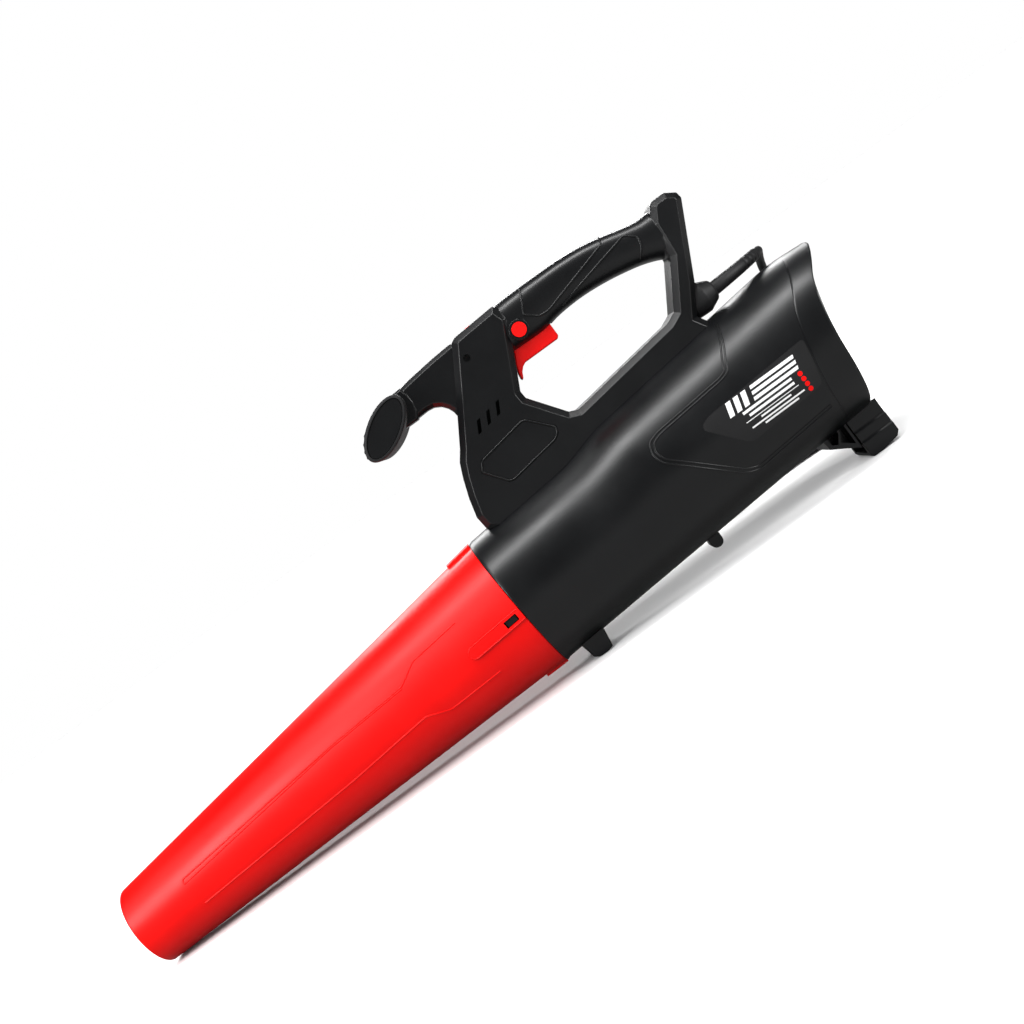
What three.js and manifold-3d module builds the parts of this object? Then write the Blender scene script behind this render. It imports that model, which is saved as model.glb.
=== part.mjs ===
// Corded garden blower: a red push-on blower tube, a round motor body, an intake guard
// that stands on the rear foot, and a closed loop handle with a trigger.
// Millimetres, +Z up. +X runs from the nozzle to the intake. The machine stands on its feet at z = 0.
import * as THREE from 'three';
import { mergeVertices } from 'three/addons/utils/BufferGeometryUtils.js';
import Module from 'manifold-3d';

const wasm = await Module();
wasm.setup();

// ---------------------------------------------------------------- driving dimensions
const GAP = 0.3;              // air left between neighbouring pieces
const FAR = 400;              // half size of a cutting block
const TILT = THREE.MathUtils.degToRad(5.07);   // the air duct rises towards the intake
const SEAM_X = 453;           // where the tube meets the body, on the duct's axis
const SEAM_Z = 81.3;
const CENTRE_X = 429.7;       // middle of the whole length, moved to x = 0

const TUBE_LENGTH = 455;
const NOZZLE_R = 39.8;
const TUBE_R = 68.6;
const TUBE_WALL = 2.4;
const SOCKET_R = 64.4;        // bore of the tube over the body's spigot
const SOCKET_DEPTH = 32;
const SPIGOT_R = 63.8;
const SPIGOT_WALL = 2.5;
const SPIGOT_LENGTH = 28;
const RIB_HALF = 5.8;         // latch rib on each side of the tube
const RIB_PROUD = 2.2;
const LATCH_HALF = 2.9;

const BODY_WALL = 2.6;
const BODY_END = 440;         // the body's outline is drawn this far, then cut at the intake
const SIDES = 36;             // facets round the body and the tube

const MOTOR_V = 3;            // the motor's axis lies this far above the tube's axis
const SHAFT_R = 4;
const FAN_R = 66;
const FAN_U = 296;
const FAN_BLADES = 9;

const HANDLE_HALF = 23;       // half thickness of the handle
const HANDLE_CHAMFER = 6;
const HANDLE_WALL = 3;
const ARM_HALF = 17;
const ARM_CHAMFER = 4;

const BAR_A = 31.6;           // cross handle: half axes of its oval, and its lean
const BAR_B = 15.8;
const BAR_LEAN = THREE.MathUtils.degToRad(33);
const BAR_HALF = 62;
const BAR_X = 450.4;
const BAR_Z = 282;

const SCREW_R = 1.4;
const BOSS_R = 4.4;
const CORD_R = 4.25;
const CORD_SIDES = 8;

// ---------------------------------------------------------------- materials
function finish(name, colour, roughness, metalness = 0) {
  return new THREE.MeshStandardMaterial({ name, color: colour, roughness, metalness });
}
const blackPlastic = finish('black_plastic', 0x1b1c1e, 0.55);
const redPlastic = finish('red_plastic', 0xd80a04, 0.42);
const blackRubber = finish('black_rubber', 0x141414, 0.85);
const greyPlastic = finish('grey_plastic', 0x6a6d70, 0.6);
const steel = finish('steel', 0xb8bcc0, 0.35, 0.9);
const copper = finish('copper', 0xb66a3a, 0.4, 0.9);
const brass = finish('brass', 0xc9a44c, 0.35, 0.9);
const boardGreen = finish('circuit_board', 0x2c5a34, 0.7);

// ---------------------------------------------------------------- solids
// A closed mesh as a solid: vertices merged, empty triangles dropped, faces turned outwards.
function solid(source) {
  const bare = source.clone();
  for (const name of Object.keys(bare.attributes)) {
    if (name !== 'position') bare.deleteAttribute(name);
  }
  const merged = mergeVertices(bare, 1e-4);
  const p = merged.attributes.position;
  const index = merged.index.array;
  const triangles = [];
  let volume = 0;
  const a = new THREE.Vector3();
  const b = new THREE.Vector3();
  const c = new THREE.Vector3();
  for (let i = 0; i < index.length; i += 3) {
    const [i0, i1, i2] = [index[i], index[i + 1], index[i + 2]];
    if (i0 === i1 || i1 === i2 || i2 === i0) continue;
    triangles.push(i0, i1, i2);
    a.fromBufferAttribute(p, i0);
    b.fromBufferAttribute(p, i1);
    c.fromBufferAttribute(p, i2);
    volume += a.dot(b.cross(c));
  }
  if (volume < 0) triangles.reverse();
  const made = new wasm.Mesh({
    numProp: 3,
    vertProperties: new Float32Array(p.array),
    triVerts: new Uint32Array(triangles),
  });
  return new wasm.Manifold(made);
}

function join(...parts) {
  return parts.reduce((sum, part) => sum.add(part));
}

// An outline of [x, z] points, pushed along Y from y0 to y1. grow moves the outline outwards.
function plate(points, y0, y1, { chamfer = 0, grow = 0 } = {}) {
  const shape = new THREE.Shape(points.map(([x, z]) => new THREE.Vector2(x, z)));
  const skin = chamfer > 0 ? chamfer : 0.001;
  const geometry = new THREE.ExtrudeGeometry(shape, {
    depth: y1 - y0 - 2 * skin,
    bevelEnabled: chamfer > 0 || grow !== 0,
    bevelThickness: skin,
    bevelSize: chamfer,
    bevelOffset: grow - chamfer,
    bevelSegments: 1,
    curveSegments: 8,
  });
  geometry.computeBoundingBox();
  geometry.translate(0, 0, -geometry.boundingBox.min.z);
  const depth = geometry.boundingBox.max.z - geometry.boundingBox.min.z;
  geometry.scale(1, 1, (y1 - y0) / depth);
  geometry.rotateX(Math.PI / 2);
  geometry.translate(0, y1, 0);
  return solid(geometry);
}

function block(x0, x1, y0, y1, z0, z1) {
  const geometry = new THREE.BoxGeometry(x1 - x0, y1 - y0, z1 - z0);
  geometry.translate((x0 + x1) / 2, (y0 + y1) / 2, (z0 + z1) / 2);
  return solid(geometry);
}

// A profile of [x, radius] points turned about a line along +X at height z.
function turned(profile, z = 0, sides = SIDES, x = 0) {
  const geometry = new THREE.LatheGeometry(profile.map(([u, r]) => new THREE.Vector2(r, u)), sides);
  geometry.rotateZ(-Math.PI / 2);
  geometry.translate(x, 0, z);
  return solid(geometry);
}

// A round bar along Y.
function roundY(x, z, radius, y0, y1, sides = 16) {
  const geometry = new THREE.CylinderGeometry(radius, radius, y1 - y0, sides);
  geometry.translate(x, (y0 + y1) / 2, z);
  return solid(geometry);
}

// Closed rings with the same number of points, joined one after another and capped at both ends.
function loft(rings) {
  const n = rings[0].length;
  const vertices = rings.flat().flatMap((v) => [v.x, v.y, v.z]);
  const index = [];
  for (let k = 0; k + 1 < rings.length; k++) {
    for (let i = 0; i < n; i++) {
      const j = (i + 1) % n;
      const [p, q, r, s] = [k * n + i, k * n + j, (k + 1) * n + i, (k + 1) * n + j];
      index.push(p, q, s, p, s, r);
    }
  }
  const last = (rings.length - 1) * n;
  for (let i = 1; i + 1 < n; i++) {
    index.push(0, i + 1, i);
    index.push(last, last + i, last + i + 1);
  }
  const geometry = new THREE.BufferGeometry();
  geometry.setAttribute('position', new THREE.Float32BufferAttribute(vertices, 3));
  geometry.setIndex(index);
  return solid(geometry);
}

// A round bar that follows a curve, its radius given as a function of the way along it.
function sweep(curve, radius, steps, sides) {
  const frames = curve.computeFrenetFrames(steps, false);
  const rings = [];
  for (let k = 0; k <= steps; k++) {
    const centre = curve.getPointAt(k / steps);
    const ring = [];
    for (let i = 0; i < sides; i++) {
      const angle = (i / sides) * 2 * Math.PI;
      const arm = frames.normals[k].clone().multiplyScalar(Math.cos(angle) * radius(k / steps));
      arm.addScaledVector(frames.binormals[k], Math.sin(angle) * radius(k / steps));
      ring.push(centre.clone().add(arm));
    }
    rings.push(ring);
  }
  return loft(rings);
}

function geometryOf(part) {
  const made = part.getMesh();
  const geometry = new THREE.BufferGeometry();
  geometry.setAttribute('position', new THREE.BufferAttribute(new Float32Array(made.vertProperties), 3));
  geometry.setIndex(new THREE.BufferAttribute(new Uint32Array(made.triVerts), 1));
  geometry.computeVertexNormals();
  return geometry;
}

// ---------------------------------------------------------------- the scene graph
const blower = new THREE.Group();
blower.name = 'leaf_blower';
blower.position.x = -CENTRE_X;

const duct = new THREE.Group();       // u along the tilted air duct, 0 at the seam, + to the intake
duct.position.set(SEAM_X, 0, SEAM_Z);
duct.rotation.y = -TILT;
blower.add(duct);

function piece(name, part, material, group = blower) {
  const mesh = new THREE.Mesh(geometryOf(part), material.clone());
  mesh.name = name;
  group.add(mesh);
  return mesh;
}

// The same solid in the standing frame, for cuts between the two groups.
const ductMatrix = new THREE.Matrix4().makeRotationY(-TILT).setPosition(SEAM_X, 0, SEAM_Z);
const ductInverse = ductMatrix.clone().invert();
function moved(part, matrix) {
  const geometry = geometryOf(part);
  geometry.applyMatrix4(matrix);
  return solid(geometry);
}

const nearHalf = block(-FAR, 3 * FAR, -FAR, -GAP / 2, -FAR, FAR);
const farHalf = block(-FAR, 3 * FAR, GAP / 2, FAR, -FAR, FAR);

// ---------------------------------------------------------------- blower tube
function tubeRadius(u) {
  return TUBE_R + (u / TUBE_LENGTH) * (TUBE_R - NOZZLE_R);
}

function coneOver(proud, u0, u1) {
  return turned([[u0, 0], [u0, tubeRadius(u0) + proud], [u1, tubeRadius(u1) + proud], [u1, 0]]);
}

function blowerTube() {
  const start = -TUBE_LENGTH;
  const shell = turned([
    [start, NOZZLE_R - TUBE_WALL + 0.6],
    [start, NOZZLE_R - 1.2],
    [start + 1.2, NOZZLE_R],
    [0, TUBE_R],
    [0, SOCKET_R + 0.6],
    [-2, SOCKET_R],
    [-SOCKET_DEPTH, SOCKET_R],
    [-SOCKET_DEPTH - 2, tubeRadius(-SOCKET_DEPTH - 2) - TUBE_WALL],
    [start + 1, NOZZLE_R - TUBE_WALL],
    [start, NOZZLE_R - TUBE_WALL + 0.6],
  ]);
  const ribLength = 60;
  const ribEnd = new THREE.Shape();
  ribEnd.moveTo(0, -RIB_HALF);
  ribEnd.lineTo(0, RIB_HALF);
  ribEnd.lineTo(RIB_HALF - ribLength, RIB_HALF);
  ribEnd.absarc(RIB_HALF - ribLength, 0, RIB_HALF, Math.PI / 2, 1.5 * Math.PI, false);
  const outline = ribEnd.getPoints(6).map((p) => [p.x, p.y]);
  const ribs = join(plate(outline, -80, -60), plate(outline, 60, 80));
  const keys = join(block(-28, 0, -9, 9, 60, 80), block(-24, 0, -8, 8, -80, -60));
  let tube = shell
    .add(coneOver(RIB_PROUD, -70, 0).intersect(ribs))
    .add(coneOver(2.8, -70, 0).intersect(keys));
  tube = tube.subtract(turned([
    [-90, 0],
    [-90, tubeRadius(-90) - TUBE_WALL],
    [-SOCKET_DEPTH - 2, tubeRadius(-SOCKET_DEPTH - 2) - TUBE_WALL],
    [-SOCKET_DEPTH, SOCKET_R],
    [1, SOCKET_R],
    [1, 0],
  ]));
  // slot for the latch, and the channel that lets the latch pass when the tube is drawn off
  const slot = block(-18.5, -5.2, -90, 90, -3.4, 3.4);
  const channel = block(-19, 1, -TUBE_R - 0.7, TUBE_R + 0.7, -3.4, 3.4);
  return tube.subtract(slot).subtract(channel);
}
piece('blower_tube', blowerTube(), redPlastic, duct);

// ---------------------------------------------------------------- motor body
function ease(t) {
  const s = Math.min(1, Math.max(0, t));
  return s * s * (3 - 2 * s);
}

// Top and bottom of the round body, measured from the tube's axis. The body swells at a shoulder,
// and its top draws in again towards the guard's mouth.
function bodyTop(u) {
  const shoulder = ease((u - 105) / 60) * (7.2 + 0.0233 * (u - 150));
  const drawnIn = 8.5 * ease((u - 370) / 70);
  return 70.7 + shoulder - drawnIn;
}
function bodyBottom(u) {
  return -68.8 - 0.018 * u;
}
function bodyRing(u, grow, sides = SIDES) {
  const centre = (bodyTop(u) + bodyBottom(u)) / 2;
  const radius = (bodyTop(u) - bodyBottom(u)) / 2 + grow;
  const ring = [];
  for (let i = 0; i < sides; i++) {
    const angle = ((i + 0.5) / sides) * 2 * Math.PI;
    ring.push(new THREE.Vector3(u, radius * Math.cos(angle), centre + radius * Math.sin(angle)));
  }
  return ring;
}
const bodyStations = [GAP, 105, 120, 135, 150, 165, 320, 372, 400, 420, BODY_END];
function bodySolid(grow, from = GAP) {
  const stations = bodyStations.filter((u) => u > from + 1);
  return loft([from, ...stations].map((u) => bodyRing(u, grow)));
}
const bodyOuter = bodySolid(0);
const bodyInner = loft([3, 105, 135, 165, 372, 400, 420, BODY_END + 1].map((u) => bodyRing(u, -BODY_WALL)));

// The intake end is cut to two curves seen from the side: the guard's joint and the guard's mouth.
function intakeCut(points, reach = BODY_END + 60) {
  const curve = new THREE.CatmullRomCurve3(points.map(([u, v]) => new THREE.Vector3(u, 0, v)));
  const line = curve.getPoints(11).map((p) => [p.x, p.z]);
  return plate([...line, [reach, 130], [reach, -120]], -120, 120);
}
const jointLine = [[396, 110], [391, 84], [375, 66], [351, 37], [338, 6.5], [331, -29], [333, -66], [338, -100]];
const mouthLine = [[434, 110], [420.5, 77.5], [411, 71.8], [402, 65], [387, 51.7], [375.5, 32], [366, 3],
  [362, -36], [362, -66], [364, -100]];
const behindJoint = intakeCut([...jointLine].reverse());
const behindMouth = intakeCut([...mouthLine].reverse());

// Bosses that hold the two halves of the body together, and their screws.
const bodyScrews = [[40, -51], [200, -55], [275, -57], [60, 52], [205, 60], [275, 62]];
function bossY(x, z, reach, radius = BOSS_R) {
  return roundY(x, z, radius, -reach, reach, 10);
}
function screwHole(x, z, headAt) {
  const shank = roundY(x, z, SCREW_R + GAP, -14, 14, 6);
  const head = headAt < 0 ? roundY(x, z, 3.4, -FAR, headAt, 10) : roundY(x, z, 3.4, headAt, FAR, 10);
  return shank.add(head);
}
function screw(x, z, headAt) {
  const way = Math.sign(headAt);
  const top = headAt + way * (GAP + 2.2);
  const under = headAt + way * GAP;
  const head = roundY(x, z, 3, Math.min(top, under), Math.max(top, under), 10);
  const neck = under + way;
  const shank = roundY(x, z, SCREW_R, Math.min(-way * 12, neck), Math.max(-way * 12, neck), 6);
  const driver = block(x - 2, x + 2, Math.min(top + way, top - 0.8 * way), Math.max(top + way, top - 0.8 * way),
    z - 0.4, z + 0.4);
  return head.add(shank).subtract(driver);
}

function bodyShell() {
  const spigot = turned([
    [-SPIGOT_LENGTH, SPIGOT_R - SPIGOT_WALL],
    [-SPIGOT_LENGTH, SPIGOT_R - 0.8],
    [-SPIGOT_LENGTH + 1, SPIGOT_R],
    [GAP, SPIGOT_R],
    [GAP, 69.2],
    [3.5, 69.2],
    [3.5, SPIGOT_R - SPIGOT_WALL],
    [-SPIGOT_LENGTH, SPIGOT_R - SPIGOT_WALL],
  ]);
  const bore = turned([[-SPIGOT_LENGTH, 0], [-SPIGOT_LENGTH, SPIGOT_R - SPIGOT_WALL],
    [4, SPIGOT_R - SPIGOT_WALL], [4, 0]]);
  let shell = bodyOuter.subtract(bodyInner).subtract(bore).add(spigot);
  const bosses = join(...bodyScrews.map(([u, v]) => bossY(u, v, 60)));
  shell = shell.add(bosses.intersect(bodySolid(-0.5, 8)));
  shell = shell.subtract(intakeCut([...jointLine].reverse()));
  for (const [u, v] of bodyScrews) shell = shell.subtract(screwHole(u, v, 8));
  const window = block(-18.8, -4.9, -FAR, FAR, -3.7, 3.7);
  return shell.subtract(window);
}

// The ribbed bracket under the tail of the body, open at the sides between its ribs.
function tailBracket() {
  const outline = [[764, 52], [766, 28], [777, 21.5], [791.3, 12.5], [791.3, 52]];
  const front = [[768.2, 52], [770, 30], [775, 27.2], [781, 36], [778, 52]];
  const rear = [[780.5, 52], [783.2, 36], [778, 27.5], [789, 19], [789, 52]];
  const pockets = join(
    plate(front, -21, -2), plate(front, 2, 21),
    plate(rear, -21, -2), plate(rear, 2, 21),
  );
  return plate(outline, -20, 20).subtract(pockets);
}

function frontFoot() {
  const outline = [[474.5, 30], [480.5, 3], [484.5, 0.6], [488, 0], [495, 0], [500.5, 1.8], [504.5, 30]];
  return plate(outline, -26, 26, { chamfer: 1.2 });
}

function bagPeg() {
  const shape = new THREE.Shape();
  shape.moveTo(628.5, 34);
  shape.lineTo(628.5, 19.5);
  shape.absarc(634.8, 19.5, 6.3, Math.PI, 2 * Math.PI, false);
  shape.lineTo(641.1, 34);
  return plate(shape.getPoints(8).map((p) => [p.x, p.y]), -7, 7);
}

const bodyStanding = moved(bodySolid(GAP), ductMatrix);
const bodyCore = moved(bodySolid(-1), ductMatrix);
const bracket = moved(tailBracket().subtract(bodyCore), ductInverse);
const wholeBody = bodyShell().add(bracket);
piece('body_shell_left', wholeBody.intersect(nearHalf), blackPlastic, duct);
piece('body_shell_right', wholeBody.intersect(farHalf), blackPlastic, duct);
piece('front_foot', frontFoot().subtract(bodyStanding), blackPlastic);
piece('bag_peg', bagPeg().subtract(bodyStanding), blackPlastic);
bodyScrews.forEach(([u, v], i) => piece(`body_screw_${i + 1}`, screw(u, v, 8), steel, duct));

// Sprung latches: a plate inside the spigot with a head that stands in the tube's slot.
function tubeLatch(side) {
  const head = block(-17.2, -6.3, side * 64 - 4.2, side * 64 + 4.2, -LATCH_HALF, LATCH_HALF);
  const lower = block(-24, -0.5, side * 59 - 1.2, side * 59 + 1.2, -7, 7);
  return head.add(lower);
}
piece('tube_latch_left', tubeLatch(-1), blackPlastic, duct);
piece('tube_latch_right', tubeLatch(1), blackPlastic, duct);

// ---------------------------------------------------------------- intake guard
function rearFoot() {
  const outline = [[792, 60], [793, 3], [795, 0], [806, 0], [823, 3], [827, 7], [827, 60]];
  const steps = join(
    plate(outline, -20, 20),
    plate(outline, -21.6, 21.6).intersect(block(780, 840, -30, 30, -1, 27)),
    plate(outline, -23.2, 23.2).intersect(block(780, 840, -30, 30, -1, 16.5)),
  );
  return steps.subtract(block(780, 823.5, -17, 17, 5, 39));
}

function intakeGuard() {
  const stations = [319, 345, 372, 386, 400, 410, 420, BODY_END];
  const wall = loft(stations.map((u) => bodyRing(u, 0)))
    .subtract(loft([318, ...stations.slice(1, -1), BODY_END + 1].map((u) => bodyRing(u, -BODY_WALL - 0.4))));
  const band = wall.intersect(behindJoint.translate([GAP, 0, 0])).subtract(behindMouth);
  const foot = moved(rearFoot(), ductInverse)
    .subtract(loft([300, 372, 400, BODY_END].map((u) => bodyRing(u, -2))))
    .intersect(behindJoint.translate([GAP, 0, 0]).add(block(320, 420, -60, 60, -140, -77)));
  return band.add(foot);
}
piece('intake_guard', intakeGuard(), blackPlastic, duct);

// Rings and spokes that keep fingers and sticks away from the fan.
function intakeGrille() {
  const at = 341.5;
  const thick = 2.6;
  const centre = 3.9;
  const bar = (r) => turned([[at, r - 1.4], [at, r + 1.4], [at + thick, r + 1.4], [at + thick, r - 1.4],
    [at, r - 1.4]], centre, 22);
  let grille = turned([[at, 0], [at, 11], [at + thick, 11], [at + thick, 0]], centre, 24);
  for (const r of [31, 52, 73.5]) grille = grille.add(bar(r));
  for (let i = 0; i < 6; i++) {
    const spoke = new THREE.BoxGeometry(thick, 2.4, 66);
    spoke.translate(at + thick / 2, 0, 40);
    spoke.rotateX((i / 6) * 2 * Math.PI);
    spoke.translate(0, 0, centre);
    grille = grille.add(solid(spoke));
  }
  return grille;
}
piece('intake_grille', intakeGrille(), blackPlastic, duct);

// ---------------------------------------------------------------- motor and fan
function ringSolid(u0, u1, inner, outer, sides = 24) {
  return turned([[u0, inner], [u0, outer], [u1, outer], [u1, inner], [u0, inner]], MOTOR_V, sides);
}
function discSolid(u0, u1, radius, sides = 24) {
  return turned([[u0, 0], [u0, radius], [u1, radius], [u1, 0]], MOTOR_V, sides);
}

// The motor pod: a can held in the duct by a ring and guide vanes.
function motorPod() {
  const can = ringSolid(188, 282, 41, 43.5, 20);
  const back = ringSolid(279.5, 282, 12, 42, 20);
  const front = ringSolid(188, 190.5, 12, 42, 20);
  const rim = ringSolid(228, 262, 70.4, 72.8, 28);
  let pod = join(can, back, front, rim);
  for (let i = 0; i < 7; i++) {
    const vane = new THREE.BoxGeometry(30, 2, 29.5);
    vane.rotateZ(0.16);
    vane.translate(245, 0, 57.5);
    vane.rotateX((i / 7) * 2 * Math.PI + 0.3);
    vane.translate(0, 0, MOTOR_V);
    pod = pod.add(solid(vane));
  }
  return pod;
}
piece('motor_pod', motorPod(), greyPlastic, duct);

const nose = [[148, 0], [150, 8], [157, 20], [170, 32.5], [187.6, 41.5], [187.6, 39.3], [171, 30], [158.5, 17],
  [153, 0]];
piece('motor_nose_cone', turned(nose, MOTOR_V, 20), greyPlastic, duct);
piece('motor_stator', ringSolid(214, 262, 24, 40, 28), steel, duct);
piece('front_bearing', ringSolid(190.9, 197, SHAFT_R + 0.25, 11, 16), steel, duct);
piece('rear_bearing', ringSolid(273, 279.2, SHAFT_R + 0.25, 11, 16), steel, duct);
piece('motor_shaft', discSolid(191.5, 336, SHAFT_R, 16), steel, duct);
piece('armature', ringSolid(214, 262, SHAFT_R + 0.2, 23.2, 24), copper, duct);
piece('commutator', ringSolid(200, 210, SHAFT_R + 0.2, 12, 20), copper, duct);
for (const [side, name] of [[-1, 'left'], [1, 'right']]) {
  const box = (inner, outer, half) => {
    const [y0, y1] = [Math.min(side * inner, side * outer), Math.max(side * inner, side * outer)];
    return block(205 - half, 205 + half, y0, y1, MOTOR_V - half, MOTOR_V + half);
  };
  const holder = box(18, 39.6, 5).subtract(box(10, 38, 3.3));
  piece(`brush_holder_${name}`, holder, brass, duct);
  piece(`carbon_brush_${name}`, box(12.4, 32, 3), blackRubber, duct);
}

// The fan: a hub cone and twisted blades that push air forwards past the motor.
function fan() {
  const hub = turned([[FAN_U, SHAFT_R + 0.2], [FAN_U, 40], [FAN_U + 12, 36], [FAN_U + 24, 22],
    [FAN_U + 30, 12], [FAN_U + 30, SHAFT_R + 0.2], [FAN_U, SHAFT_R + 0.2]], MOTOR_V, 20);
  let wheel = hub;
  for (let i = 0; i < FAN_BLADES; i++) {
    const rings = [];
    for (const [r, twist] of [[26, 0.95], [46, 0.75], [FAN_R, 0.55]]) {
      const ring = [];
      for (const [along, thick] of [[-13, -0.4], [0, -1.2], [13, -0.4], [13, 0.4], [0, 1.2], [-13, 0.4]]) {
        const u = along * Math.cos(twist) - thick * Math.sin(twist);
        const y = along * Math.sin(twist) + thick * Math.cos(twist);
        const z = Math.sqrt(r * r - y * y);
        ring.push(new THREE.Vector3(FAN_U + 12 + u, y, z));
      }
      rings.push(ring);
    }
    const turn = new THREE.Matrix4().makeRotationX((i / FAN_BLADES) * 2 * Math.PI);
    turn.premultiply(new THREE.Matrix4().makeTranslation(0, 0, MOTOR_V));
    wheel = wheel.add(moved(loft(rings), turn));
  }
  return wheel;
}
piece('fan', fan(), greyPlastic, duct);
const nut = discSolid(FAN_U + 30.4, FAN_U + 36, 8, 6).subtract(discSolid(FAN_U + 29, FAN_U + 37, SHAFT_R + 0.2, 16));
piece('fan_nut', nut, steel, duct);

// ---------------------------------------------------------------- handle
// Outline of the handle seen from the side, without its round grip.
const handleOutline = [
  [478, 136], [476.5, 147.5], [470, 153.5], [468.5, 168], [473, 186], [479.5, 204.5], [485.5, 218],
  [493, 228], [507, 250.5], [544.5, 311.5], [549, 313.5], [594, 316.5], [600, 300], [584, 267.5],
  [569, 238], [569.5, 230.5], [594, 197], [602.5, 193.5], [714, 209], [725, 214], [752, 257],
  [755, 290], [764.5, 305.5], [769, 308], [782, 308], [792, 301.5], [793, 295], [757, 224.5],
  [740.5, 198], [747, 187.5], [746, 176],
];
// The grip from its front to its rear: [x, bottom, top, half width].
const gripStations = [
  [582, 271, 315.5, 21], [600, 270.5, 317, 20.5], [622, 270.5, 317.5, 19.5], [640, 273.8, 317.5, 19],
  [665, 275.3, 317, 18.8], [690, 273.8, 315, 18.8], [712, 270.5, 311, 19], [732, 266, 306, 19.8],
  [748, 260, 303, 21], [762, 252, 303.5, 21.5],
];
function gripSolid(grow, sides = 20) {
  return loft(gripStations.map(([x, low, high, half]) => {
    const ring = [];
    for (let i = 0; i < sides; i++) {
      const angle = (i / sides) * 2 * Math.PI;
      const squareness = 0.8;
      const c = Math.sign(Math.cos(angle)) * Math.abs(Math.cos(angle)) ** squareness;
      const s = Math.sign(Math.sin(angle)) * Math.abs(Math.sin(angle)) ** squareness;
      ring.push(new THREE.Vector3(x, c * (half + grow), (low + high) / 2 + s * ((high - low) / 2 + grow)));
    }
    return ring;
  }));
}
function handleSlab(grow, half, chamfer = HANDLE_CHAMFER) {
  return plate(handleOutline, -half, half, { chamfer, grow });
}

const insertOutline = [[495.5, 199], [502, 208.5], [553.5, 217], [558, 215], [577, 194], [575, 187], [569, 183],
  [517, 175.5], [512, 177]];
const handleScrews = [
  { x: 547, z: 291.5, head: -8 },
  { x: 488, z: 176, head: 8 },
  { x: 590, z: 183, head: 8 },
  { x: 700, z: 195, head: 8 },
  { x: 778, z: 294, head: 8 },
];
const TRIGGER_PIVOT = [622, 276];
const LOCK_X = 601;
const LOCK_Z = 284.5;
const LOCK_R = 7;
const DIAL_X = 565.3;
const DIAL_R = 12;
const DIAL_Z = 303.9;
const DIAL_HALF = 2.8;
const CORD_EXIT_Z = 209.5;

function handleShell() {
  const outside = handleSlab(0, HANDLE_HALF).add(gripSolid(0));
  const cavity = handleSlab(-HANDLE_WALL, HANDLE_HALF - HANDLE_WALL, HANDLE_CHAMFER - HANDLE_WALL)
    .add(gripSolid(-HANDLE_WALL, 12));
  const bosses = join(...handleScrews.map(({ x, z }) => bossY(x, z, HANDLE_HALF - 2)));
  const pinBosses = roundY(...TRIGGER_PIVOT, 4, -13, 13, 12).subtract(roundY(...TRIGGER_PIVOT, 5, -8, 8, 12));
  let shell = outside.subtract(cavity).add(bosses).add(pinBosses);
  // bezel round the lock button
  shell = shell.add(roundY(LOCK_X, LOCK_Z, 9.6, -22.3, -17, 24));
  shell = shell.subtract(roundY(LOCK_X, LOCK_Z, LOCK_R + GAP, -FAR, -10, 24));
  // groove round the insert
  const groove = plate(insertOutline, -FAR, FAR).subtract(plate(insertOutline, -FAR, FAR, { grow: -3 }));
  shell = shell.subtract(groove.subtract(block(400, 900, -HANDLE_HALF + 0.9, HANDLE_HALF - 0.9, 0, 400)));
  // three slanted vents in the left side
  for (let i = 0; i < 3; i++) {
    const x = 516.6 + i * 11.8;
    const z = 229 + i * 1.8;
    const vent = [[x - 2, z - 0.5], [x + 2, z], [x + 8.2, z + 11.5], [x + 4.2, z + 11]];
    shell = shell.subtract(plate(vent, -FAR, -5));
  }
  for (const { x, z, head } of handleScrews) shell = shell.subtract(screwHole(x, z, head));
  shell = shell.subtract(roundY(...TRIGGER_PIVOT, 2 + GAP, -12.6, 12.6, 16));
  // slots for the trigger and the dial, the tongue of the front arm and the cable's relief
  const triggerSlot = [[569, 236], [586, 262], [631, 262], [631, 280], [584, 280], [575, 262], [565, 240]];
  shell = shell.subtract(plate(triggerSlot, -7.5, 7.5));
  shell = shell.subtract(block(DIAL_X - DIAL_HALF - GAP, DIAL_X + DIAL_HALF + GAP, -11, 11, 300, 330));
  shell = shell.subtract(block(500, 554, -8.4, 8.4, 282.6, 296.4));
  shell = shell.subtract(turned([[730, 0], [730, 7.6], [770, 7.6], [770, 0]], CORD_EXIT_Z, 20));
  return shell.subtract(bodyStanding);
}
const wholeHandle = handleShell();
piece('handle_shell_left', wholeHandle.intersect(nearHalf), blackPlastic);
piece('handle_shell_right', wholeHandle.intersect(farHalf), blackPlastic);
handleScrews.forEach(({ x, z, head }, i) => piece(`handle_screw_${i + 1}`, screw(x, z, head), steel));

// Front arm, with a tongue that is screwed between the handle's halves.
function frontArm() {
  const outline = [[478, 273.5], [478, 304.8], [493, 307.2], [520.5, 310.2], [541, 311.6], [566, 305],
    [566, 268], [528, 252], [509.4, 252.5], [508.8, 259], [506.5, 264.5], [502.5, 269.5], [496.5, 273], [490, 274]];
  const arm = plate(outline, -ARM_HALF, ARM_HALF, { chamfer: ARM_CHAMFER });
  const collar = plate([[462, 272.5], [462, 304.4], [481, 305.6], [484.5, 297], [485, 288], [482.5, 279],
    [478.5, 272.5]], -ARM_HALF - 1, ARM_HALF + 1, { chamfer: 2 });
  const tongue = block(505, 553.5, -8, 8, 283, 296);
  const hole = roundY(547, 291.5, BOSS_R + GAP, -20, 20, 16);
  return arm.add(collar).subtract(handleSlab(GAP, HANDLE_HALF + GAP)).add(tongue).subtract(hole)
    .subtract(barSolid(GAP, BAR_HALF + 5));
}

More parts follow.
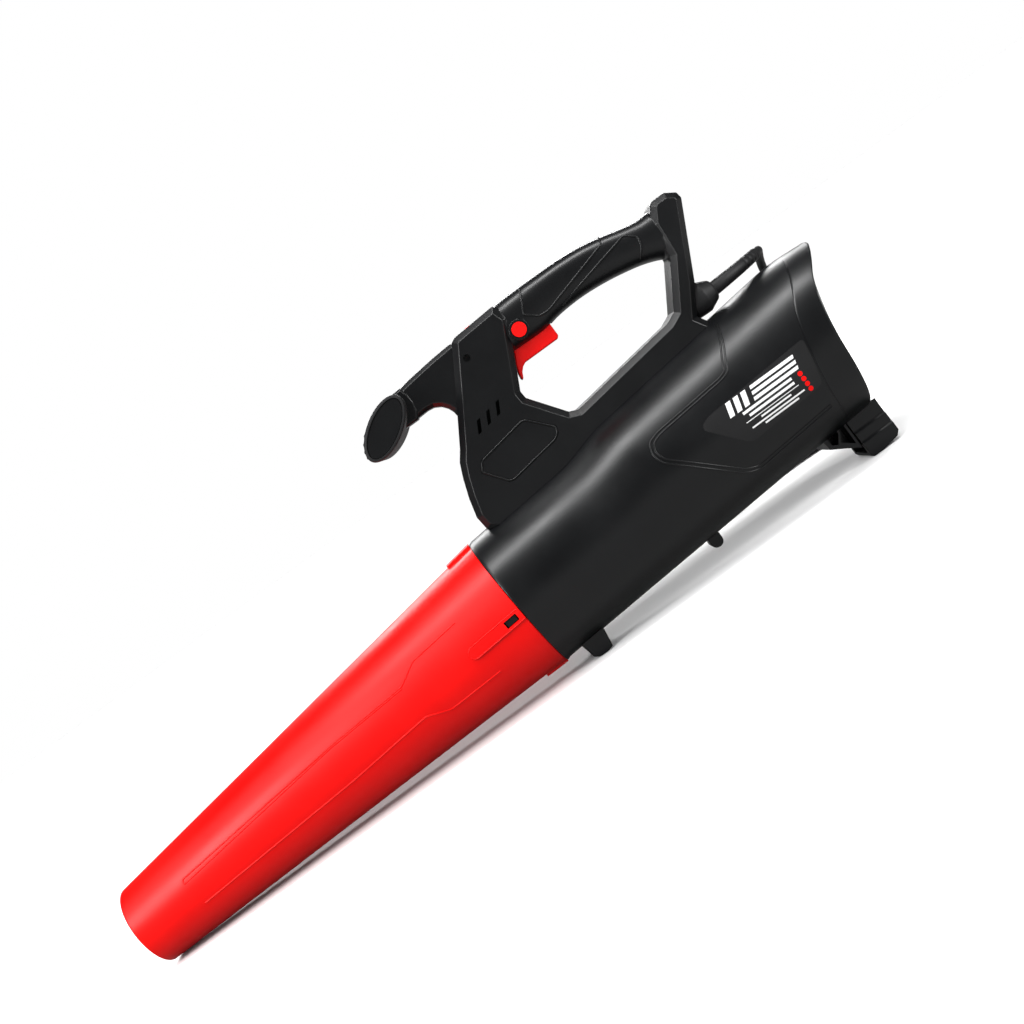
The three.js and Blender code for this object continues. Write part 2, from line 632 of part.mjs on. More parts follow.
// Cross handle: an oval bar along Y with shallow finger ridges on its upper front side.
function barSolid(grow, half, ridges = 0) {
  const outline = [];
  const sides = 28;
  for (let i = 0; i < sides; i++) {
    const angle = (i / sides) * 2 * Math.PI;
    const onRidge = angle > 1.9 && angle < 2.9;
    const bump = onRidge && i % 2 ? ridges : 0;
    const a = (BAR_A + grow + bump) * Math.cos(angle);
    const b = (BAR_B + grow + bump) * Math.sin(angle);
    outline.push([
      BAR_X + a * Math.cos(BAR_LEAN) - b * Math.sin(BAR_LEAN),
      BAR_Z + a * Math.sin(BAR_LEAN) + b * Math.cos(BAR_LEAN),
    ]);
  }
  return plate(outline, -half, half, { chamfer: grow > 0 ? 0 : 1.8, grow: grow > 0 ? 0.001 : 0 });
}
function capOutline(grow) {
  const points = [];
  const sides = 20;
  for (let i = 0; i < sides; i++) {
    const angle = (i / sides) * 2 * Math.PI;
    const a = (BAR_A - 3.2 + grow) * Math.cos(angle);
    const b = (BAR_B - 3.2 + grow) * Math.sin(angle);
    points.push([
      BAR_X + a * Math.cos(BAR_LEAN) - b * Math.sin(BAR_LEAN),
      BAR_Z + a * Math.sin(BAR_LEAN) + b * Math.cos(BAR_LEAN),
    ]);
  }
  return points;
}
const capSeat = join(
  plate(capOutline(GAP), -BAR_HALF - 1, -BAR_HALF + 4),
  plate(capOutline(GAP), BAR_HALF - 4, BAR_HALF + 1),
);
const barScrewHole = turned([[440, 0], [440, 2.2], [560, 2.2], [560, 0]], 288, 12);
piece('front_arm', frontArm().subtract(barScrewHole.intersect(block(400, 500, -9, 9, 200, 400))), blackPlastic);
piece('cross_handle', barSolid(0, BAR_HALF, 0.7).subtract(capSeat).subtract(barScrewHole), blackRubber);
piece('cross_handle_cap_left', plate(capOutline(0), -BAR_HALF + 0.5, -BAR_HALF + 3.7), blackPlastic);
piece('cross_handle_cap_right', plate(capOutline(0), BAR_HALF - 3.7, BAR_HALF - 0.5), blackPlastic);
piece('cross_handle_bolt', turned([[442, 0], [442, 1.9], [499, 1.9], [499, 0]], 288, 12), steel);

// ---------------------------------------------------------------- controls
function trigger() {
  const outline = [[628.6, 279], [628.6, 259.5], [626.4, 257.2], [589.5, 257.2], [585.5, 255.3], [581.8, 251.5],
    [579.5, 246.8], [578, 245.4], [577.2, 247.2], [577.8, 252], [581, 261], [585.5, 269.5], [588, 279], [604, 280.5]];
  return plate(outline, -7, 7, { chamfer: 0.9 }).subtract(roundY(...TRIGGER_PIVOT, 2.25, -9, 9, 16));
}
piece('trigger', trigger(), redPlastic);
piece('trigger_pin', roundY(...TRIGGER_PIVOT, 2, -12.3, 12.3, 16), steel);

class Coil extends THREE.Curve {
  constructor(radius, height, turns) {
    super();
    Object.assign(this, { radius, height, turns });
  }
  getPoint(t, target = new THREE.Vector3()) {
    const angle = t * this.turns * 2 * Math.PI;
    return target.set(this.radius * Math.cos(angle), this.radius * Math.sin(angle), t * this.height);
  }
}
const spring = moved(sweep(new Coil(2.6, 7, 3), () => 0.45, 30, 6),
  new THREE.Matrix4().makeTranslation(596, 0, 281.2));
piece('trigger_spring', spring, steel);
piece('switch_body', block(588, 618, -8, 8, 289.2, 304), blackPlastic);

const lockButton = roundY(LOCK_X, LOCK_Z, LOCK_R, -23.4, -13, 28).add(roundY(LOCK_X, LOCK_Z, 8.6, -13.5, -11.4, 28));
piece('lock_button', lockButton.subtract(block(580, 620, -13.6, -11, 270, 279.9)), redPlastic);

function dial() {
  const points = [];
  const teeth = 22;
  for (let i = 0; i < 2 * teeth; i++) {
    const angle = (i / (2 * teeth)) * 2 * Math.PI;
    const r = i % 2 ? DIAL_R : DIAL_R - 0.8;
    points.push(new THREE.Vector2(r * Math.cos(angle), r * Math.sin(angle)));
  }
  const geometry = new THREE.ExtrudeGeometry(new THREE.Shape(points), {
    depth: 2 * DIAL_HALF, bevelEnabled: false });
  geometry.rotateY(Math.PI / 2);
  geometry.translate(DIAL_X - DIAL_HALF, 0, DIAL_Z);
  return solid(geometry).add(turned([[555, 0], [555, 2.4], [564, 2.4], [564, 0]], DIAL_Z, 16));
}
piece('speed_dial', dial(), redPlastic);
const pot = turned([[549, 0], [549, 5.6], [558, 5.6], [558, 0]], DIAL_Z, 16)
  .subtract(turned([[554, 0], [554, 2.8], [560, 2.8], [560, 0]], DIAL_Z, 16));
piece('dial_potentiometer', pot, steel);
piece('control_board', block(500, 552, 2, 3.6, 180, 222), boardGreen);
piece('suppressor_capacitor', block(508, 530, -10, 1.6, 190, 208), greyPlastic);

// ---------------------------------------------------------------- cable
const SLEEVE_START = 771;
const SLEEVE_R = 75;          // the sleeve bends towards +Y on this radius
const SLEEVE_TURN = THREE.MathUtils.degToRad(50);

class SleeveArc extends THREE.Curve {
  getPoint(t, target = new THREE.Vector3()) {
    const angle = t * SLEEVE_TURN;
    return target.set(
      SLEEVE_START + SLEEVE_R * Math.sin(angle), SLEEVE_R * (1 - Math.cos(angle)), CORD_EXIT_Z + 3 * t);
  }
}
function strainRelief() {
  const bell = turned([[742, 0], [742, 7.2], [743, 14], [745, 15.4], [759, 15.7], [769, 10.6], [771, 9.4],
    [772, 7], [772, 0]], CORD_EXIT_Z, 20);
  const clear = handleSlab(GAP, HANDLE_HALF + GAP);
  const neck = turned([[733.5, 0], [733.5, 9.5], [736.5, 9.5], [736.5, 7.2], [760, 7.2], [760, 0]], CORD_EXIT_Z, 16);
  const sleeve = sweep(new SleeveArc(), (t) => 7 - 1.2 * t, 7, 10);
  return bell.subtract(clear).add(neck).add(sleeve);
}
piece('strain_relief', strainRelief(), blackRubber);

// The lead leaves the sleeve, turns down behind the body and lies on the ground behind it.
const sleeveEnd = new SleeveArc().getPoint(1);
const cordRoute = [
  [sleeveEnd.x + 0.3, sleeveEnd.y + 0.36, sleeveEnd.z], [833.5, 33.5, 213], [838, 43.5, 213],
  [840, 54.5, 210.5], [840.5, 65.5, 205], [840.5, 75, 196], [840.5, 82, 184], [840.5, 86, 169],
  [840.5, 87.3, 152], [840.5, 87.5, 130], [840.5, 87.5, 106], [840.5, 87.5, 84], [840.5, 88.3, 62],
  [840.5, 91.5, 42], [840, 99.5, 25], [838.5, 112, 12.5], [835, 128, 6], [828, 144.5, 4.4],
  [815.5, 159, 4.3], [798, 168.5, 4.3], [778, 172.5, 4.3], [757, 173, 4.6], [738, 173, 6.6], [724, 173, 9.2],
  [715, 173, 10],
].map(([x, y, z]) => new THREE.Vector3(x, y, z));
const cordCurve = new THREE.CatmullRomCurve3(cordRoute, false, 'centripetal');
const cordSection = new THREE.Shape();
cordSection.absarc(0, 0, CORD_R, 0, 2 * Math.PI, false);
const cordGeometry = new THREE.ExtrudeGeometry(
  new THREE.Shape(cordSection.getSpacedPoints(CORD_SIDES).slice(0, CORD_SIDES)),
  { steps: 32, bevelEnabled: false, extrudePath: cordCurve },
);
piece('power_cord', solid(cordGeometry), blackRubber);

function plugBody() {
  const nose = sweep(new THREE.LineCurve3(new THREE.Vector3(714.6, 173, 10), new THREE.Vector3(700, 173, 10)),
    (t) => 5.6 + 1.6 * t, 2, 16);
  const body = block(676, 702, 173 - 13.5, 173 + 13.5, 0.3, 19.7);
  const head = plate([[676, 0.6], [676, 19.4], [702, 19.4], [706, 15], [706, 5], [702, 0.6]], 173 - 11, 173 + 11);
  return body.add(head).add(nose);
}
const bladeHoles = [];
for (const side of [-1, 1]) {
  bladeHoles.push(block(666, 684, 173 + side * 6.35 - 1.1, 173 + side * 6.35 + 1.1, 6.3, 13.7));
}
piece('plug_body', plugBody().subtract(join(...bladeHoles)), blackRubber);
[-1, 1].forEach((side, i) => {
  const y = 173 + side * 6.35;
  piece(`plug_blade_${i + 1}`, block(660, 683.6, y - 0.75, y + 0.75, 6.8, 13.2), brass);
});

export default blower;
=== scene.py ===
import math

import bmesh
import bpy
import numpy as np
from mathutils import Matrix, Vector


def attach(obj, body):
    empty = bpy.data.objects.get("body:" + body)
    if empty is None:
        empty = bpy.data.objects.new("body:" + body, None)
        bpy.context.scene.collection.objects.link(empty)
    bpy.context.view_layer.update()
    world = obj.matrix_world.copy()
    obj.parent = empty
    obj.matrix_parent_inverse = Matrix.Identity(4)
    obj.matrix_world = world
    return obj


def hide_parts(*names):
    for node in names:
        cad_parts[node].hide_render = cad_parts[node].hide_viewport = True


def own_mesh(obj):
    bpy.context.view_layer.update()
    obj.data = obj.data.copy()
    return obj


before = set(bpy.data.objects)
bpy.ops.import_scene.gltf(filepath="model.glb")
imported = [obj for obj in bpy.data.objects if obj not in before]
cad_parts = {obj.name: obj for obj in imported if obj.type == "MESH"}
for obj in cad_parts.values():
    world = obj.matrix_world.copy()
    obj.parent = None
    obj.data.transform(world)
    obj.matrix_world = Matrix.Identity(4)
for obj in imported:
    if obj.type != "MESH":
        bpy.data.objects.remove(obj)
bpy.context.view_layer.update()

# ---------------------------------------------------------------- camera
# The blower is seen from its left side with the nozzle hanging down to the left, so the camera
# is rolled about its own axis. It looks square on to the blower's long plane.
ROLL = math.radians(36.1)
VIEW_CENTRE = Vector((0.0679, 0.0, 0.1521))
VIEW_WIDTH = 0.9523
VIEW_DISTANCE = 1.1625
SHIFT = (0.05, -0.075)
camera_right = Vector((math.cos(ROLL), 0, -math.sin(ROLL)))
camera_up = Vector((math.sin(ROLL), 0, math.cos(ROLL)))
camera_back = Vector((0, -1, 0))
camera_data = bpy.data.cameras.new("camera")
camera_data.sensor_width = 36
camera_data.lens = 36 * VIEW_DISTANCE / VIEW_WIDTH
camera_data.shift_x, camera_data.shift_y = SHIFT
camera = bpy.data.objects.new("camera", camera_data)
bpy.context.scene.collection.objects.link(camera)
camera.matrix_world = Matrix((camera_right, camera_up, camera_back)).transposed().to_4x4()
camera.location = (VIEW_CENTRE + camera_back * VIEW_DISTANCE
                   - camera_right * SHIFT[0] * VIEW_WIDTH - camera_up * SHIFT[1] * VIEW_WIDTH)
bpy.context.scene.camera = camera
bpy.context.scene.view_settings.view_transform = "Standard"

# ---------------------------------------------------------------- power lead
# A rubber-sheathed mains pigtail, 8.5 mm thick, with a moulded plug at its end. It leaves the
# bend sleeve behind the handle, drops down behind the body and lies on the ground.
CENTRE_X = 429.7


def at(x, y, z):
    """A point of the standing blower, given in millimetres from the nozzle, in the row frame."""
    return Vector(((x - CENTRE_X) / 1000, y / 1000, z / 1000))


def smooth_line(points, steps=12):
    """Points on a centripetal curve through the given ones."""
    p = [np.array(v, float) for v in points]
    line = []
    for i in range(len(p) - 1):
        b, c = p[i], p[i + 1]
        a = p[i - 1] if i else 2 * b - c
        d = p[i + 2] if i + 2 < len(p) else 2 * c - b
        ab, bc, cd = (max(np.linalg.norm(t) ** 0.5, 1e-6) for t in (b - a, c - b, d - c))
        t0 = ((b - a) / ab - (c - a) / (ab + bc) + (c - b) / bc) * bc
        t1 = ((c - b) / bc - (d - b) / (bc + cd) + (d - c) / cd) * bc
        for k in range(steps):
            t = k / steps
            line.append(b + t0 * t + (3 * (c - b) - 2 * t0 - t1) * t * t + (2 * (b - c) + t0 + t1) * t ** 3)
    line.append(p[-1])
    return line


def group(name, inputs, outputs, geometry=False):
    """A node group with named sockets; returns the tree, its input node and its output node."""
    tree = bpy.data.node_groups.new(name, "GeometryNodeTree" if geometry else "ShaderNodeTree")
    for socket, kind, value in inputs:
        made = tree.interface.new_socket(name=socket, in_out="INPUT", socket_type="NodeSocket" + kind)
        if value is not None:
            made.default_value = value
    for socket, kind in outputs:
        tree.interface.new_socket(name=socket, in_out="OUTPUT", socket_type="NodeSocket" + kind)
    return tree, tree.nodes.new("NodeGroupInput"), tree.nodes.new("NodeGroupOutput")


def wire(tree, pairs):
    """Links between (node, socket) ends."""
    for (a, out), (b, into) in pairs:
        tree.links.new(a.outputs[out], b.inputs[into])


def node(tree, kind, **settings):
    """A node with its settings; keys that begin with i_ are inputs by place."""
    made = tree.nodes.new(kind)
    for key, value in settings.items():
        if key.startswith("i_"):
            made.inputs[int(key[2:])].default_value = value
        else:
            setattr(made, key, value)
    return made


# Fine spark-eroded grain of a moulding tool, with slow mottling over it.
grain, grain_in, grain_out = group(
    "moulded_grain",
    [("Vector", "Vector", None), ("Grain per metre", "Float", 1500.0), ("Mottle per metre", "Float", 14.0)],
    [("Height", "Float"), ("Mottle", "Float")])
grain_noise = node(grain, "ShaderNodeTexNoise", i_3=2.5, i_4=0.6)
grain_cells = node(grain, "ShaderNodeTexVoronoi", feature="SMOOTH_F1")
grain_mix = node(grain, "ShaderNodeMath", operation="MULTIPLY_ADD", i_1=0.5)
mottle = node(grain, "ShaderNodeTexNoise", i_3=4.0, i_4=0.55)
wire(grain, [
    ((grain_in, "Vector"), (grain_noise, "Vector")), ((grain_in, "Grain per metre"), (grain_noise, "Scale")),
    ((grain_in, "Vector"), (grain_cells, "Vector")), ((grain_in, "Grain per metre"), (grain_cells, "Scale")),
    ((grain_cells, "Distance"), (grain_mix, 0)), ((grain_noise, "Fac"), (grain_mix, 2)),
    ((grain_in, "Vector"), (mottle, "Vector")), ((grain_in, "Mottle per metre"), (mottle, "Scale")),
    ((grain_mix, 0), (grain_out, "Height")), ((mottle, "Fac"), (grain_out, "Mottle"))])

# Light handling marks: thin stretched scuffs in patches.
marks, marks_in, marks_out = group(
    "handling_marks", [("Vector", "Vector", None), ("Amount", "Float", 0.5)], [("Scuff", "Float")])
stretch = node(marks, "ShaderNodeMapping", i_2=(0.3, 0.4, 0.9), i_3=(60, 420, 620))
lines = node(marks, "ShaderNodeTexNoise", i_2=2.2, i_3=5.0, i_4=0.6)
patches = node(marks, "ShaderNodeTexNoise", i_2=11.0, i_3=2.0)
line_ramp = node(marks, "ShaderNodeMapRange", i_1=0.6, i_2=0.74)
patch_ramp = node(marks, "ShaderNodeMapRange", i_1=0.52, i_2=0.68)
scuff = node(marks, "ShaderNodeMath", operation="MULTIPLY")
scuff_amount = node(marks, "ShaderNodeMath", operation="MULTIPLY")
wire(marks, [
    ((marks_in, "Vector"), (stretch, "Vector")), ((stretch, "Vector"), (lines, "Vector")),
    ((marks_in, "Vector"), (patches, "Vector")), ((lines, "Fac"), (line_ramp, "Value")),
    ((patches, "Fac"), (patch_ramp, "Value")), ((line_ramp, "Result"), (scuff, 0)),
    ((patch_ramp, "Result"), (scuff, 1)), ((scuff, 0), (scuff_amount, 0)),
    ((marks_in, "Amount"), (scuff_amount, 1)), ((scuff_amount, 0), (marks_out, "Scuff"))])


def surface(name, dark, light, rough, grain_size=1500.0, depth=0.00002, scuffs=0.5, metallic=0.0,
            specular=0.5):
    """A moulded or machined finish: two near colours mottled, grain in the bump, scuffs in the gloss."""
    made = bpy.data.materials.new(name)
    made.use_nodes = True
    tree = made.node_tree
    shader = tree.nodes["Principled BSDF"]
    shader.inputs["Metallic"].default_value = metallic
    shader.inputs["Specular IOR Level"].default_value = specular
    place = node(tree, "ShaderNodeTexCoord")
    texture = node(tree, "ShaderNodeGroup", node_tree=grain)
    texture.inputs["Grain per metre"].default_value = grain_size
    wear = node(tree, "ShaderNodeGroup", node_tree=marks)
    wear.inputs["Amount"].default_value = scuffs
    colour = node(tree, "ShaderNodeMix", data_type="RGBA", i_6=(*dark, 1), i_7=(*light, 1))
    worn = node(tree, "ShaderNodeMix", data_type="RGBA", i_7=(*[min(1, c * 1.3 + 0.004) for c in light], 1))
    spread = node(tree, "ShaderNodeMapRange", i_1=0.3, i_2=0.7)
    gloss = node(tree, "ShaderNodeMapRange", i_1=0.25, i_2=0.75, i_3=rough - 0.05, i_4=rough + 0.06)
    matt = node(tree, "ShaderNodeMath", operation="MULTIPLY_ADD", i_1=0.18)
    bump = node(tree, "ShaderNodeBump", i_0=1.0, i_1=depth)
    wire(tree, [
        ((place, "Object"), (texture, "Vector")), ((place, "Object"), (wear, "Vector")),
        ((texture, "Mottle"), (spread, "Value")), ((spread, "Result"), (colour, 0)),
        ((wear, "Scuff"), (worn, 0)), ((colour, 2), (worn, 6)), ((worn, 2), (shader, "Base Color")),
        ((texture, "Mottle"), (gloss, "Value")), ((wear, "Scuff"), (matt, 0)), ((gloss, "Result"), (matt, 2)),
        ((matt, 0), (shader, "Roughness")), ((texture, "Height"), (bump, "Height")),
        ((bump, "Normal"), (shader, "Normal"))])
    return made


rubber = surface("soft_rubber", (0.006, 0.006, 0.0065), (0.011, 0.011, 0.012), 0.52, 900.0, 0.00003, 0.3)

BEND_RADIUS = 75.0
BEND_TURN = math.radians(50)
bend_end = (771 + BEND_RADIUS * math.sin(BEND_TURN), BEND_RADIUS * (1 - math.cos(BEND_TURN)), 212.5)
lead_route = [
    (bend_end[0] + 0.3, bend_end[1] + 0.36, bend_end[2]), (833.5, 33.5, 213), (838, 43.5, 213),
    (840, 54.5, 210.5), (840.5, 65.5, 205), (840.5, 75, 196), (840.5, 82, 184), (840.5, 86, 169),
    (840.5, 87.3, 152), (840.5, 87.5, 130), (840.5, 87.5, 106), (840.5, 87.5, 84), (840.5, 88.3, 62),
    (840.5, 91.5, 42), (840, 99.5, 25), (838.5, 112, 12.5), (835, 128, 6), (828, 144.5, 4.4),
    (815.5, 159, 4.3), (798, 168.5, 4.3), (778, 172.5, 4.3), (757, 173, 4.6), (738, 173, 6.6),
    (724, 173, 9.2), (715, 173, 10)]
lead_line = [at(*p) for p in smooth_line(lead_route, 8)]
lead_data = bpy.data.curves.new("power_lead", "CURVE")
lead_data.dimensions = "3D"
lead_data.bevel_depth = 0.00425
lead_data.bevel_resolution = 6
lead_data.use_fill_caps = True
spline = lead_data.splines.new("POLY")
spline.points.add(len(lead_line) - 1)
for point, place in zip(spline.points, lead_line):
    point.co = (*place, 1)
spline.use_smooth = True
power_lead = bpy.data.objects.new("power_lead", lead_data)
bpy.context.scene.collection.objects.link(power_lead)
lead_data.materials.append(rubber)
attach(power_lead, "housing")
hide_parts("power_cord")

# ---------------------------------------------------------------- plug
# A two-pin plug moulded on to the lead in the same rubber, with finger ribs across both faces
# and two flat brass blades. The blades stay the plain stampings that they are.


def mesh_piece(name, vertices, faces):
    """A closed mesh as an object at the origin, its faces turned outwards."""
    data = bpy.data.meshes.new(name)
    data.from_pydata([tuple(v) for v in vertices], [], faces)
    form = bmesh.new()
    form.from_mesh(data)
    bmesh.ops.remove_doubles(form, verts=form.verts, dist=1e-6)
    bmesh.ops.recalc_face_normals(form, faces=form.faces)
    form.to_mesh(data)
    form.free()
    made = bpy.data.objects.new(name, data)
    bpy.context.scene.collection.objects.link(made)
    return made


def loft(name, rings):
    """Rings of equally many points joined into a closed body, with a flat face over each end."""
    n, last = len(rings[0]), len(rings) - 1
    faces = [(k * n + i, k * n + (i + 1) % n, (k + 1) * n + (i + 1) % n, (k + 1) * n + i)
             for k in range(last) for i in range(n)]
    faces += [tuple(range(n)), tuple(range(last * n, (last + 1) * n))]
    return mesh_piece(name, [point for ring in rings for point in ring], faces)


def settle(piece):
    """The evaluated piece as a plain mesh with no modifiers left on it."""
    view = bpy.context.evaluated_depsgraph_get()
    view.update()
    made = bpy.data.meshes.new_from_object(piece.evaluated_get(view))
    piece.modifiers.clear()
    old, piece.data = piece.data, made
    made.name = piece.name
    if old.users == 0:
        bpy.data.meshes.remove(old)
    return piece


def boolean(piece, tools, operation="DIFFERENCE"):
    """piece cut by, joined with or kept inside the tools, which are used up."""
    for tool in tools:
        change = piece.modifiers.new("cut", "BOOLEAN")
        change.operation, change.solver, change.object = operation, "EXACT", tool
        settle(piece)
        bpy.data.objects.remove(tool)
    return piece


SHARP_FROM = math.radians(32)


def soften(piece, width, segments=2, angle=28):
    """Small moulded radii on the sharp edges, then smooth shading up to the sharp ones."""
    if width:
        edge = piece.modifiers.new("edges", "BEVEL")
        edge.width, edge.segments, edge.limit_method = width, segments, "ANGLE"
        edge.angle_limit = math.radians(angle)
        edge.miter_outer = "MITER_ARC"
        settle(piece)
    piece.data.shade_smooth()
    piece.data.set_sharp_from_angle(angle=SHARP_FROM)
    even = piece.modifiers.new("normals", "WEIGHTED_NORMAL")
    even.weight, even.keep_sharp = 80, True
    return settle(piece)


def from_cad(name, node_name, weld=1e-5):
    """A welded copy of a CAD node with its flat faces whole."""
    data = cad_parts[node_name].data.copy()
    data.name = name
    form = bmesh.new()
    form.from_mesh(data)
    bmesh.ops.remove_doubles(form, verts=form.verts, dist=weld)
    bmesh.ops.dissolve_limit(form, angle_limit=math.radians(0.6), verts=form.verts, edges=form.edges)
    form.to_mesh(data)
    form.free()
    for attribute in [a.name
                      for a in data.attributes if a.name in ("custom_normal", "sharp_face", "sharp_edge")]:
        data.attributes.remove(data.attributes[attribute])
    made = bpy.data.objects.new(name, data)
    bpy.context.scene.collection.objects.link(made)
    return made


def fit(piece, body, slot, material, *nodes):
    """The piece's finish, the body it moves with and the CAD solids that it stands for."""
    piece.data.materials.clear()
    piece.data.materials.append(material)
    for face in getattr(piece.data, "polygons", []):
        face.material_index = 0
    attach(piece, body)
    if nodes:
        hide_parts(*nodes)
    return piece


def plate(name, outline, y0, y1):
    """An outline of [x, z] millimetres as a plate from y0 to y1."""
    return loft(name, [[at(x, y, z) for x, z in outline] for y in (y0, y1)])


def dress(finishes):
    """Finishes for the CAD nodes that are kept as they are."""
    for node_name, finish in finishes.items():
        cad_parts[node_name].data.materials.clear()
        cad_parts[node_name].data.materials.append(finish)


plug = from_cad("plug_moulding", "plug_body")
soften(plug, 0.0009, 3)
fit(plug, "housing", "black_rubber", rubber, "plug_body")
brass = surface("bright_brass", (0.62, 0.42, 0.13), (0.74, 0.52, 0.2), 0.3, 700.0, 0.000006, 0.6,
                metallic=1.0)
dress({"plug_blade_1": brass, "plug_blade_2": brass})

# ---------------------------------------------------------------- floor and light
# A wide pale floor that runs out into a white studio. Two broad lights fill the floor and the
# near side evenly, and long soft boxes lay streaks on the mouldings. What the mouldings mirror of
# floor and studio is darker than what is seen directly, as with black flags round a product.


def flagged(tree, seen, mirrored):
    """Two shaders in one: the first where it is looked at directly, the second for all other rays."""
    way = tree.nodes.new("ShaderNodeLightPath")
    both = tree.nodes.new("ShaderNodeMixShader")
    wire(tree, [((way, "Is Camera Ray"), (both, 0)), ((mirrored, 0), (both, 1)), ((seen, 0), (both, 2))])
    return both


floor_material = bpy.data.materials.new("studio_floor")
floor_material.use_nodes = True
floor_tree = floor_material.node_tree
floor_tree.nodes.clear()
floor_tree.links.new(
    flagged(floor_tree, node(floor_tree, "ShaderNodeBsdfDiffuse", i_0=(0.97, 0.97, 0.97, 1)),
            node(floor_tree, "ShaderNodeBsdfDiffuse", i_0=(0.2, 0.2, 0.2, 1))).outputs[0],
    floor_tree.nodes.new("ShaderNodeOutputMaterial").inputs["Surface"])
floor = mesh_piece("floor", [(-30, -30, -0.0004), (30, -30, -0.0004), (30, 30, -0.0004), (-30, 30, -0.0004)],
                   [(0, 1, 2, 3)])
floor.data.materials.append(floor_material)
world = bpy.data.worlds.new("studio")
world.use_nodes = True
world_tree = world.node_tree
world_tree.nodes.clear()
world_tree.links.new(
    flagged(world_tree, node(world_tree, "ShaderNodeBackground", i_0=(1, 1, 1, 1), i_1=1.0),
            node(world_tree, "ShaderNodeBackground", i_0=(1, 1, 1, 1), i_1=0.075)).outputs[0],
    world_tree.nodes.new("ShaderNodeOutputWorld").inputs["Surface"])
bpy.context.scene.world = world


def broad_light(name, power, spread, turn):
    """A wide even light from far away; it fills without laying a highlight."""
    data = bpy.data.lights.new(name, "SUN")
    data.energy, data.angle = power, math.radians(spread)
    light = bpy.data.objects.new(name, data)
    bpy.context.scene.collection.objects.link(light)
    light.rotation_euler = [math.radians(a) for a in turn]
    light.visible_glossy = False


broad_light("broad_overhead", 3.3, 60, (24, -22, 0))
broad_light("front_fill", 1.1, 60, (76, -12, 0))


def soft_box(name, place, target, width, height, power):
    """A rectangular soft light at place, aimed at target."""
    data = bpy.data.lights.new(name, "AREA")
    data.shape, data.size, data.size_y, data.energy = "RECTANGLE", width, height, power
    light = bpy.data.objects.new(name, data)
    bpy.context.scene.collection.objects.link(light)
    light.location = place
    light.rotation_euler = (Vector(target) - Vector(place)).to_track_quat("-Z", "Y").to_euler()
    return light


soft_box("overhead_strip", (0.15, -0.35, 1.3), (0.1, 0, 0.15), 1.5, 0.22, 15)
soft_box("left_strip", (-1.2, -1.0, 0.9), (0.1, 0, 0.16), 0.3, 0.8, 14)
soft_box("right_strip", (1.5, -0.9, 0.6), (0.3, 0, 0.15), 0.25, 0.9, 11)
soft_box("back_strip", (0.2, 1.4, 1.0), (0.1, 0, 0.15), 1.6, 0.3, 18)

# ---------------------------------------------------------------- blower tube
# A tapered tube in glossy red plastic, pushed on to the body's spigot. It has a rolled nozzle
# edge, latch ribs with a slot on both sides, two locating keys and fine raised styling lines.
TILT = math.radians(5.07)
TUBE_LENGTH, NOZZLE_R, TUBE_R, TUBE_WALL = 455.0, 39.8, 68.6, 2.4
SOCKET_R, SOCKET_DEPTH = 64.4, 32.0
ROUND = 144


def duct(u, y, v):
    """A point of the air duct, u along its rising axis and v above it, in the row frame."""
    return at(453 + u * math.cos(TILT) - v * math.sin(TILT), y,
              81.3 + u * math.sin(TILT) + v * math.cos(TILT))


def lathe(name, profile, centre_v=0.0, sides=ROUND, place=duct):
    """A closed profile of (u, radius) turned about the duct's direction."""
    vertices, faces, n = [], [], len(profile)
    for i in range(sides):
        angle = 2 * math.pi * i / sides
        vertices += [place(u, r * math.cos(angle), centre_v + r * math.sin(angle)) for u, r in profile]
    for i in range(sides):
        j = (i + 1) % sides
        for k in range(n):
            m = (k + 1) % n
            faces.append((i * n + k, i * n + m, j * n + m, j * n + k))
    return mesh_piece(name, vertices, faces)


def block(name, u0, u1, y0, y1, v0, v1, place=duct):
    """A plain cutting or filling block."""
    corners = [(u, y, v) for u in (u0, u1) for y in (y0, y1) for v in (v0, v1)]
    faces = [(0, 1, 3, 2), (4, 6, 7, 5), (0, 4, 5, 1), (2, 3, 7, 6), (0, 2, 6, 4), (1, 5, 7, 3)]
    return mesh_piece(name, [place(*c) for c in corners], faces)


def tube_radius(u):
    """Outer radius of the tapering tube."""
    return TUBE_R + (u / TUBE_LENGTH) * (TUBE_R - NOZZLE_R)


def duct_plate(name, outline, y0, y1):
    """An outline of (u, v) as a plate from y0 to y1."""
    return loft(name, [[duct(u, y, v) for u, v in outline] for y in (y0, y1)])


def copy_of(piece, name):
    """A second object with its own copy of the piece's mesh."""
    made = bpy.data.objects.new(name, piece.data.copy())
    bpy.context.scene.collection.objects.link(made)
    return made


start = -TUBE_LENGTH
tube_profile = [(start, NOZZLE_R - TUBE_WALL + 0.9), (start, NOZZLE_R - 1.2), (start + 0.25, NOZZLE_R - 0.5),
                (start + 0.8, NOZZLE_R - 0.1), (start + 2, NOZZLE_R + 0.05)]
tube_profile += [(u, tube_radius(u)) for u in np.linspace(start + 8, -8, 44)]
tube_profile += [(-1.2, tube_radius(-1.2)), (-0.3, TUBE_R - 0.25), (0, TUBE_R - 0.9), (0, SOCKET_R + 0.6),
                 (-2, SOCKET_R), (-SOCKET_DEPTH, SOCKET_R),
                 (-SOCKET_DEPTH - 2, tube_radius(-SOCKET_DEPTH - 2) - TUBE_WALL)]
tube_profile += [(u, tube_radius(u) - TUBE_WALL) for u in np.linspace(-60, start + 4, 12)]
tube = lathe("blower_tube_moulding", tube_profile)
RIB_HALF, RIB_LENGTH, RIB_PROUD, RIB_GAP = 5.8, 60.0, 2.0, 0.4
rib_outline = [(4, -RIB_HALF), (4, RIB_HALF)]
